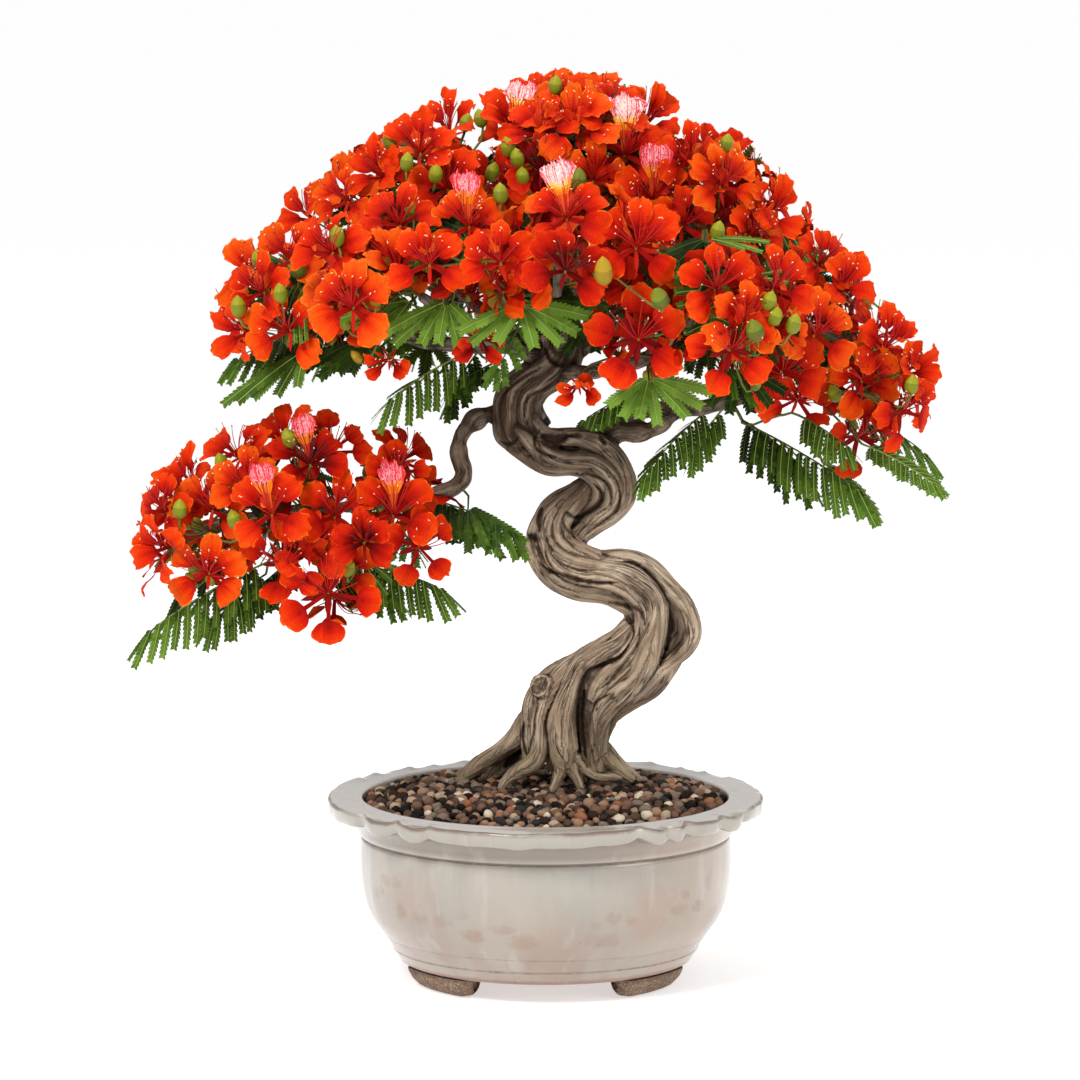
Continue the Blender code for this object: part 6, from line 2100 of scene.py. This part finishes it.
def make_fronds(masses, blooms):
    rng = np.random.default_rng(3131)
    rows = []   # root, tip, face, reach, pairs, bow, droop, tone, leaf
    up = np.array([0, 0, 1.0])
    for rp, tp, tone, reach, pairs, droop in FRONDS:
        root, tip = at_y(*rp), at_y(*tp)
        face = unit(up * 0.8 - AHEAD * 0.6 + rng.normal(0, 0.08, 3))
        rows.append((root, tip, face, reach / 1000, pairs, 0.10, droop, tone, 0.0060 if tone >= 5 else 0.0056))
    spots = masses.scatter(7000, rng)
    rng.shuffle(spots)
    roots = [r[0] for r in rows]
    quota = {"under": 74, "between": 150}
    got = {"under": 0, "between": 0}
    lo = np.array(CAD_BOX[0]) - 0.5 * np.array(ROOM)
    hi = np.array(CAD_BOX[1]) + 0.5 * np.array(ROOM)
    for p, n, i in spots:
        own = masses.owner[i]
        heart = PAD_HEART if own >= 12 else CROWN_HEART
        flat = unit((p - heart) * np.array([1, 1, 0.0]))
        seen = p[1] < 0.02
        faces_us = seen and float(n @ AHEAD) < -0.05
        spot = picture_places(p[None])[0]
        if faces_us and own < 12 and 380 < spot[0] < 705 and spot[1] > 222:
            continue
        if 286 < spot[0] < 392 and 380 < spot[1] < 436:
            continue
        if n[2] < 0.0 and got["under"] < quota["under"]:
            root = p - n * rng.uniform(0.026, 0.040)
            if faces_us or np.min(((np.array(roots) - root) ** 2).sum(1)) < 0.040 ** 2:
                continue
            place = picture_places(p[None])[0]
            if own < 12 and place[0] < 640 and rng.random() < (0.96 if seen else 0.62):
                continue
            if 470 < place[0] < 660 and place[1] > 335 and p[1] < 0.10:
                continue
            if seen and (rng.random() < (0.93 if own < 12 else 0.70) or (own >= 12 and 262 < place[0] < 380)):
                continue
            if own < 12 and p[1] < 0.12 and place[0] > 600 and (rng.random() < 0.62 or float(n @ AHEAD) < -0.05):
                continue
            x = unit(flat * 0.95 + n * 0.20 + up * -0.28 + rng.normal(0, 0.20, 3))
            span = rng.uniform(0.066, 0.100) * (0.78 if own >= 12 else 1.0)
            tip = root + x * span
            reach, droop, pairs = rng.uniform(0.030, 0.038), rng.uniform(0.6, 1.1), int(span / 0.0105)
            face = unit(up + rng.normal(0, 0.15, 3))
            tone = int(np.clip(round(2.4 + rng.normal(0, 1.0)), 0, 5))
            kind = "under"
            if own < 12 and not -0.315 < tip[0] < 0.385:
                continue
        elif n[2] > -0.25 and got["between"] < quota["between"]:
            root = p - n * rng.uniform(0.034, 0.048)
            if np.min(((np.array(roots) - root) ** 2).sum(1)) < 0.042 ** 2:
                continue
            around = unit(np.cross(n, rng.normal(size=3)))
            x = unit(around + n * rng.uniform(0.05, 0.26))
            span = rng.uniform(0.065, 0.095)
            tip = root + x * span
            if own >= 12 and root[0] > -0.26 and root[2] > 0.50:
                continue
            need = 0.012 if abs(float(n @ AHEAD)) > 0.55 else 0.026
            if masses.buried(tip, heart) < need or masses.buried(0.5 * (root + tip), heart) < need + 0.006:
                continue
            reach, droop, pairs = rng.uniform(0.026, 0.034), rng.uniform(0.0, 0.3), int(span / 0.0105)
            face = unit(n + rng.normal(0, 0.2, 3))
            tone = int(np.clip(round(1.3 + rng.normal(0, 1.1)), 0, 5))
            kind = "between"
        else:
            continue
        end_spot = picture_places(tip[None])[0]
        if 290 < end_spot[0] < 430 and 384 < end_spot[1] < 424:
            continue
        ends = tip + DOWN * reach * 0.8 * min(droop, 1)
        if np.any(np.minimum(tip, ends) < lo + 0.014) or np.any(np.maximum(tip, ends) > hi - 0.014):
            continue
        rows.append((root, tip, face, reach, pairs, 0.12 if kind == "under" else 0.05, droop, tone, 0.0054))
        roots.append(root)
        got[kind] += 1
    # places, seen from the front, that stay open or in full flower: left, right, upper and lower edge
    keep_off = ((398, 458, 258, 302), (238, 287, 378, 426), (338, 408, 392, 470), (852, 912, 374, 416),
                (118, 168, 556, 614), (600, 676, 300, 352))
    kept = rows[:len(FRONDS)]
    for row in rows[len(FRONDS):]:
        along = [picture_places((row[0] + (row[1] - row[0]) * t)[None])[0] for t in (0.3, 0.65, 1.0)]
        if row[1][1] < 0.12 and any(a < q[0] < b and c < q[1] < d for q in along for a, b, c, d in keep_off):
            continue
        kept.append(row)
    rows = kept
    leaf = [Pile(), Pile(), Pile()]
    stalk = Pile()
    lf = np.array([(0, 1, 3), (0, 3, 2), (2, 3, 4)])
    rib_f = []
    for q in range(4):
        rib_f += [(2 * q, 2 * q + 1, 2 * q + 3), (2 * q, 2 * q + 3, 2 * q + 2)]
    rib_f = np.array(rib_f)
    for root, tip, face, reach, pairs, bow, droop, tone, size in rows:
        v, tag, ribs, rod, rings = grow_frond(root, tip, face, reach, max(5, pairs), bow, droop, rng, size)
        shift = rng.integers(-1, 2, 60)[tag[:, 0].astype(int)]
        far = np.interp(tag[:, 0], [0, max(tag[:, 0])], [0, 1])
        mats = tone + np.where(rng.random(len(tag)) < 0.45, shift, 0) + (tag[:, 1] > 0.72) + (far > 0.75) * 1 \
            - (tag[:, 1] < 0.22) * 1 - (far < 0.25) * 1
        pile = min(leaf, key=lambda q: q.triangles())
        pile.put(v, lf, np.repeat(np.clip(mats, 0, 7).astype(int)[:, None], 3, 1))
        stalk.put(ribs, rib_f, 1 if tone >= 3 else 0)
        stalk.put(rod, tube_faces(rings, 4), 1 if tone >= 4 else 0)
    fans = []
    for middle, tone, half, tips in FANS:
        v, tag, ribs, rod, rings, back = grow_fan(middle, tips, half, rng)
        far = tag[:, 1]
        mats = tone - 1 + (far > 0.35) * 1 + (rng.random(len(tag)) < 0.25) * (far > 0.5) - (far < 0.15) * 1 \
            + rng.integers(-1, 1, 40)[tag[:, 0].astype(int)]
        pile = min(leaf, key=lambda q: q.triangles())
        pile.put(v, lf, np.repeat(np.clip(mats, 0, 7).astype(int)[:, None], 3, 1))
        stalk.put(ribs, rib_f, 1 if tone >= 4 else 0)
        stalk.put(rod, tube_faces(rings, 4), 0)
        fans.append((back, unit(np.array([0.0, -1.0, 0.1]))))
    mats = [plain("leaf_%d" % i, c, 0.60, 0.10) for i, c in enumerate(LEAF_TONES)]
    for k, pile in enumerate(leaf):
        add("leaflets_%s" % "abc"[k], pile.mesh("leaflets_%s" % "abc"[k], smooth=False), mats,
            [FROND_PADS[:2], FROND_PADS[2:4], FROND_PADS[4:]][k])
    add("leaf_ribs", stalk.mesh("leaf_ribs"), [plain("rib_green", lin(66, 90, 36), 0.6, 0.15),
                                              plain("rib_pale", lin(142, 166, 84), 0.6, 0.15)], ())
    return [(r[0], unit(r[1] - r[0])) for r in rows] + fans


# ------------------------------------------------------------------ twigs
class Growth:
    """Wood that grows on from the limbs: each new tip joins the nearest fitting wood."""

    def __init__(self, limbs):
        self.pos, self.way, self.parent, self.limb = [], [], [], []
        for line, run in limbs:
            t = unit(np.gradient(line[:, :3], axis=0))
            for i in range(len(line) // 3, len(line), 2):
                self.pos.append(line[i, :3])
                self.way.append(t[i])
                self.parent.append(-1)
                self.limb.append(True)
        self.paths = []
        self.load = None

    def reach(self, tip, arrive, rng, bend=0.35):
        P = np.array(self.pos)
        W = np.array(self.way)
        off = tip - P
        d = np.linalg.norm(off, axis=1)
        fit = (off / np.maximum(d, 1e-6)[:, None] * W).sum(1)
        cost = d * (1 + 0.55 * np.clip(0.35 - fit, 0, 2)) + np.where(d < 0.006, 0.05, 0)
        j = int(np.argmin(cost))
        span = d[j]
        n = max(3, int(span / 0.0085))
        p0, p3 = P[j], tip
        p1 = p0 + W[j] * span * bend
        p2 = p3 - arrive * span * bend
        t = np.linspace(0, 1, n + 1)[:, None]
        path = (1 - t) ** 3 * p0 + 3 * t * (1 - t) ** 2 * p1 + 3 * t * t * (1 - t) * p2 + t ** 3 * p3
        wob = rng.normal(0, 0.0011, path.shape) * np.sin(np.pi * t)
        path = path + wob
        way = unit(np.gradient(path, axis=0))
        ids = [j]
        last = j
        for k in range(1, len(path)):
            self.pos.append(path[k])
            self.way.append(way[k])
            self.parent.append(last)
            self.limb.append(False)
            last = len(self.pos) - 1
            ids.append(last)
        self.paths.append(ids)
        return last

    def weigh(self):
        load = np.zeros(len(self.pos))
        for ids in self.paths:
            j = ids[-1]
            while j >= 0:
                load[j] += 1
                if self.limb[j]:
                    break
                j = self.parent[j]
        self.load = load
        return load


def make_twigs(limbs, blooms, fronds, masses):
    rng = np.random.default_rng(808)
    centre, axis, size, back, where = blooms
    growth = Growth(limbs)
    # clusters of blooms that share one stalk
    order = np.argsort(np.linalg.norm(centre - CROWN_HEART, axis=1))
    foot = centre - axis * 0.0090
    taken = np.full(len(centre), -1)
    heads = []
    for i in order:
        if taken[i] >= 0:
            continue
        near = [j for j in range(len(centre)) if taken[j] < 0
                and np.linalg.norm(centre[j] - centre[i]) < 0.082 and axis[j].dot(axis[i]) > 0.05]
        near = sorted(near, key=lambda j: np.linalg.norm(centre[j] - centre[i]))[:6]
        mean_axis = unit(axis[near].mean(0))
        heart = PAD_HEART if centre[i][0] < -0.09 and centre[i][2] < 0.60 else CROWN_HEART
        inward = unit(heart - centre[near].mean(0))
        head = foot[near].mean(0) - mean_axis * 0.034 + inward * 0.018
        for j in near:
            taken[j] = len(heads)
        heads.append((head, unit(mean_axis - inward)))
    tips = [(h, a, "head", k) for k, (h, a) in enumerate(heads)]
    tips += [(r, x, "frond", k) for k, (r, x) in enumerate(fronds)]
    start = np.array(growth.pos)
    tips.sort(key=lambda q: np.min(((start - q[0]) ** 2).sum(1)))
    for tip, arrive, kind, k in tips:
        growth.reach(tip, arrive, rng)
    load = growth.weigh()
    pos = np.array(growth.pos)
    wood = Pile()
    for ids in growth.paths:
        r = 0.00078 + 0.00056 * np.maximum(load[ids], 1) ** 0.52
        r[0] = r[1]
        line = np.concatenate([pos[ids], r[:, None]], 1)
        sides = 6 if r.max() > 0.0016 else 5
        pts = tube(line, sides)
        faces = tube_faces(len(line), sides)
        green = (r < 0.0018)
        f_ring = np.minimum(faces.min(1) // sides, len(line) - 1)
        wood.put(pts, faces, np.where(green[f_ring], 1, 0))
    add("twigs", wood.mesh("twigs"), [plain("twig_brown", lin(84, 66, 50), 0.75, 0.2),
                                      plain("twig_green", lin(92, 98, 42), 0.6, 0.3)], ())
    # flower stalks
    stalks = Pile()
    h = np.array([heads[t][0] for t in taken])
    ha = np.array([heads[t][1] for t in taken])
    t = np.linspace(0, 1, 8)[None, :, None]
    span = np.linalg.norm(foot - h, axis=1)[:, None, None]
    p0, p3 = h[:, None], foot[:, None]
    p1 = p0 + ha[:, None] * span * 0.35
    p2 = p3 - axis[:, None] * span * 0.45
    path = (1 - t) ** 3 * p0 + 3 * t * (1 - t) ** 2 * p1 + 3 * t * t * (1 - t) * p2 + t ** 3 * p3
    tan = unit(np.gradient(path, axis=1))
    ref = np.broadcast_to(np.array([0.31, 0.22, 0.92]), tan.shape)
    a = unit(np.cross(tan, ref))
    b = np.cross(tan, a)
    rad = np.linspace(0.00125, 0.0010, 8)[None, :, None, None]
    an = np.linspace(0, 2 * np.pi, 5)[:-1]
    ring = path[:, :, None] + rad * (np.cos(an)[None, None, :, None] * a[:, :, None]
                                     + np.sin(an)[None, None, :, None] * b[:, :, None])
    f = tube_faces(8, 4)
    stalks.put(ring.reshape(len(path), -1, 3), f, rng.choice([0, 1], len(path))[:, None] * np.ones((1, len(f)), int))

    # buds
    bud_rows = []
    for px, py, tone in BUDS:
        p, n, i = masses.seen_at(px, py)
        bud_rows.append((p + n * 0.004 - AHEAD * 0.014, unit(n * 0.30 + np.array([0, 0, 1.0]) + rng.normal(0, .16, 3)),
                         rng.uniform(.0090, .0102) if tone == 0 else .0118, tone))
    for k, (head, way) in enumerate(heads):
        if rng.random() < 0.40:
            continue
        for _ in range(int(rng.integers(1, 4))):
            w = unit(way + rng.normal(0, 0.55, 3))
            reach = rng.uniform(0.030, 0.052)
            bud_rows.append((head + w * reach, unit(w * 0.6 + np.array([0, 0, 0.9])), rng.uniform(.0060, .0094),
                             int(rng.choice([0, 1, 2], p=[.6, .15, .25]))))
    H = np.array([q[0] for q in heads])
    rings, sides = 9, 10
    zz = np.linspace(-1, 1, rings)
    rr = np.sqrt(np.clip(1 - zz ** 2, 0, 1)) * (1 - 0.10 * zz)
    rr[0] = 0.16
    rr[-1] = 0.05
    zz[-1] = 1.10
    th = np.linspace(0, 2 * np.pi, sides, endpoint=False)
    ridge = 1 + 0.035 * np.cos(5 * th)
    v = np.stack([rr[:, None] * ridge * np.cos(th), rr[:, None] * ridge * np.sin(th),
                  zz[:, None] * np.ones(sides)], -1).reshape(-1, 3)
    bf = tube_faces(rings, sides)
    ring_of = bf.min(1) // sides
    buds = Pile()
    for p, d, r, tone in bud_rows:
        fr = facing_frames(d[None], np.array([[0.2, 0.1, 1.0]]), np.array([rng.uniform(0, 6)]))[0]
        long_ = 1.38 if tone != 1 else 1.75
        w = (v * [r * 0.74, r * 0.74, r * long_ * 0.74]) @ fr.T + p
        base = {0: 0, 1: 2, 2: 4}[tone]
        buds.put(w, bf, np.where(ring_of >= 5, base + 1, base))
        foot_b = p - d * r * long_ * 0.72
        j = int(np.argmin(((H - foot_b) ** 2).sum(1)))
        h0, w0 = heads[j]
        sp = np.linalg.norm(foot_b - h0)
        tt = np.linspace(0, 1, 7)[:, None]
        q1, q2 = h0 + w0 * sp * .35, foot_b - d * sp * .35
        path = (1 - tt) ** 3 * h0 + 3 * tt * (1 - tt) ** 2 * q1 + 3 * tt * tt * (1 - tt) * q2 + tt ** 3 * foot_b
        line = np.concatenate([path, np.linspace(.0011, .0013, 7)[:, None]], 1)
        stalks.put(tube(line, 4), tube_faces(7, 4), 0)
    add("buds", buds.mesh("buds"), [plain("bud_green", lin(118, 124, 10), 0.45, 0.3),
                                    plain("bud_lit", lin(146, 148, 16), 0.45, 0.3),
                                    plain("bud_gold", lin(150, 118, 10), 0.45, 0.3),
                                    plain("bud_gold_lit", lin(172, 138, 18), 0.45, 0.3),
                                    plain("bud_deep", lin(86, 98, 16), 0.45, 0.3),
                                    plain("bud_deep_lit", lin(112, 122, 20), 0.45, 0.3)], ())
    add("flower_stalks", stalks.mesh("flower_stalks"), [plain("stalk_olive", lin(112, 118, 44), 0.5, 0.3),
                                                       plain("stalk_dull", lin(98, 88, 42), 0.5, 0.3)], ())


# ------------------------------------------------------------------ run
def main():
    make_camera()
    make_stage()
    make_bowl()
    make_feet()
    make_gravel()
    lines = make_wood()
    masses = Masses()
    blooms = make_blooms(masses)
    fronds = make_fronds(masses, blooms)
    make_twigs(lines, blooms, fronds, masses)


main()
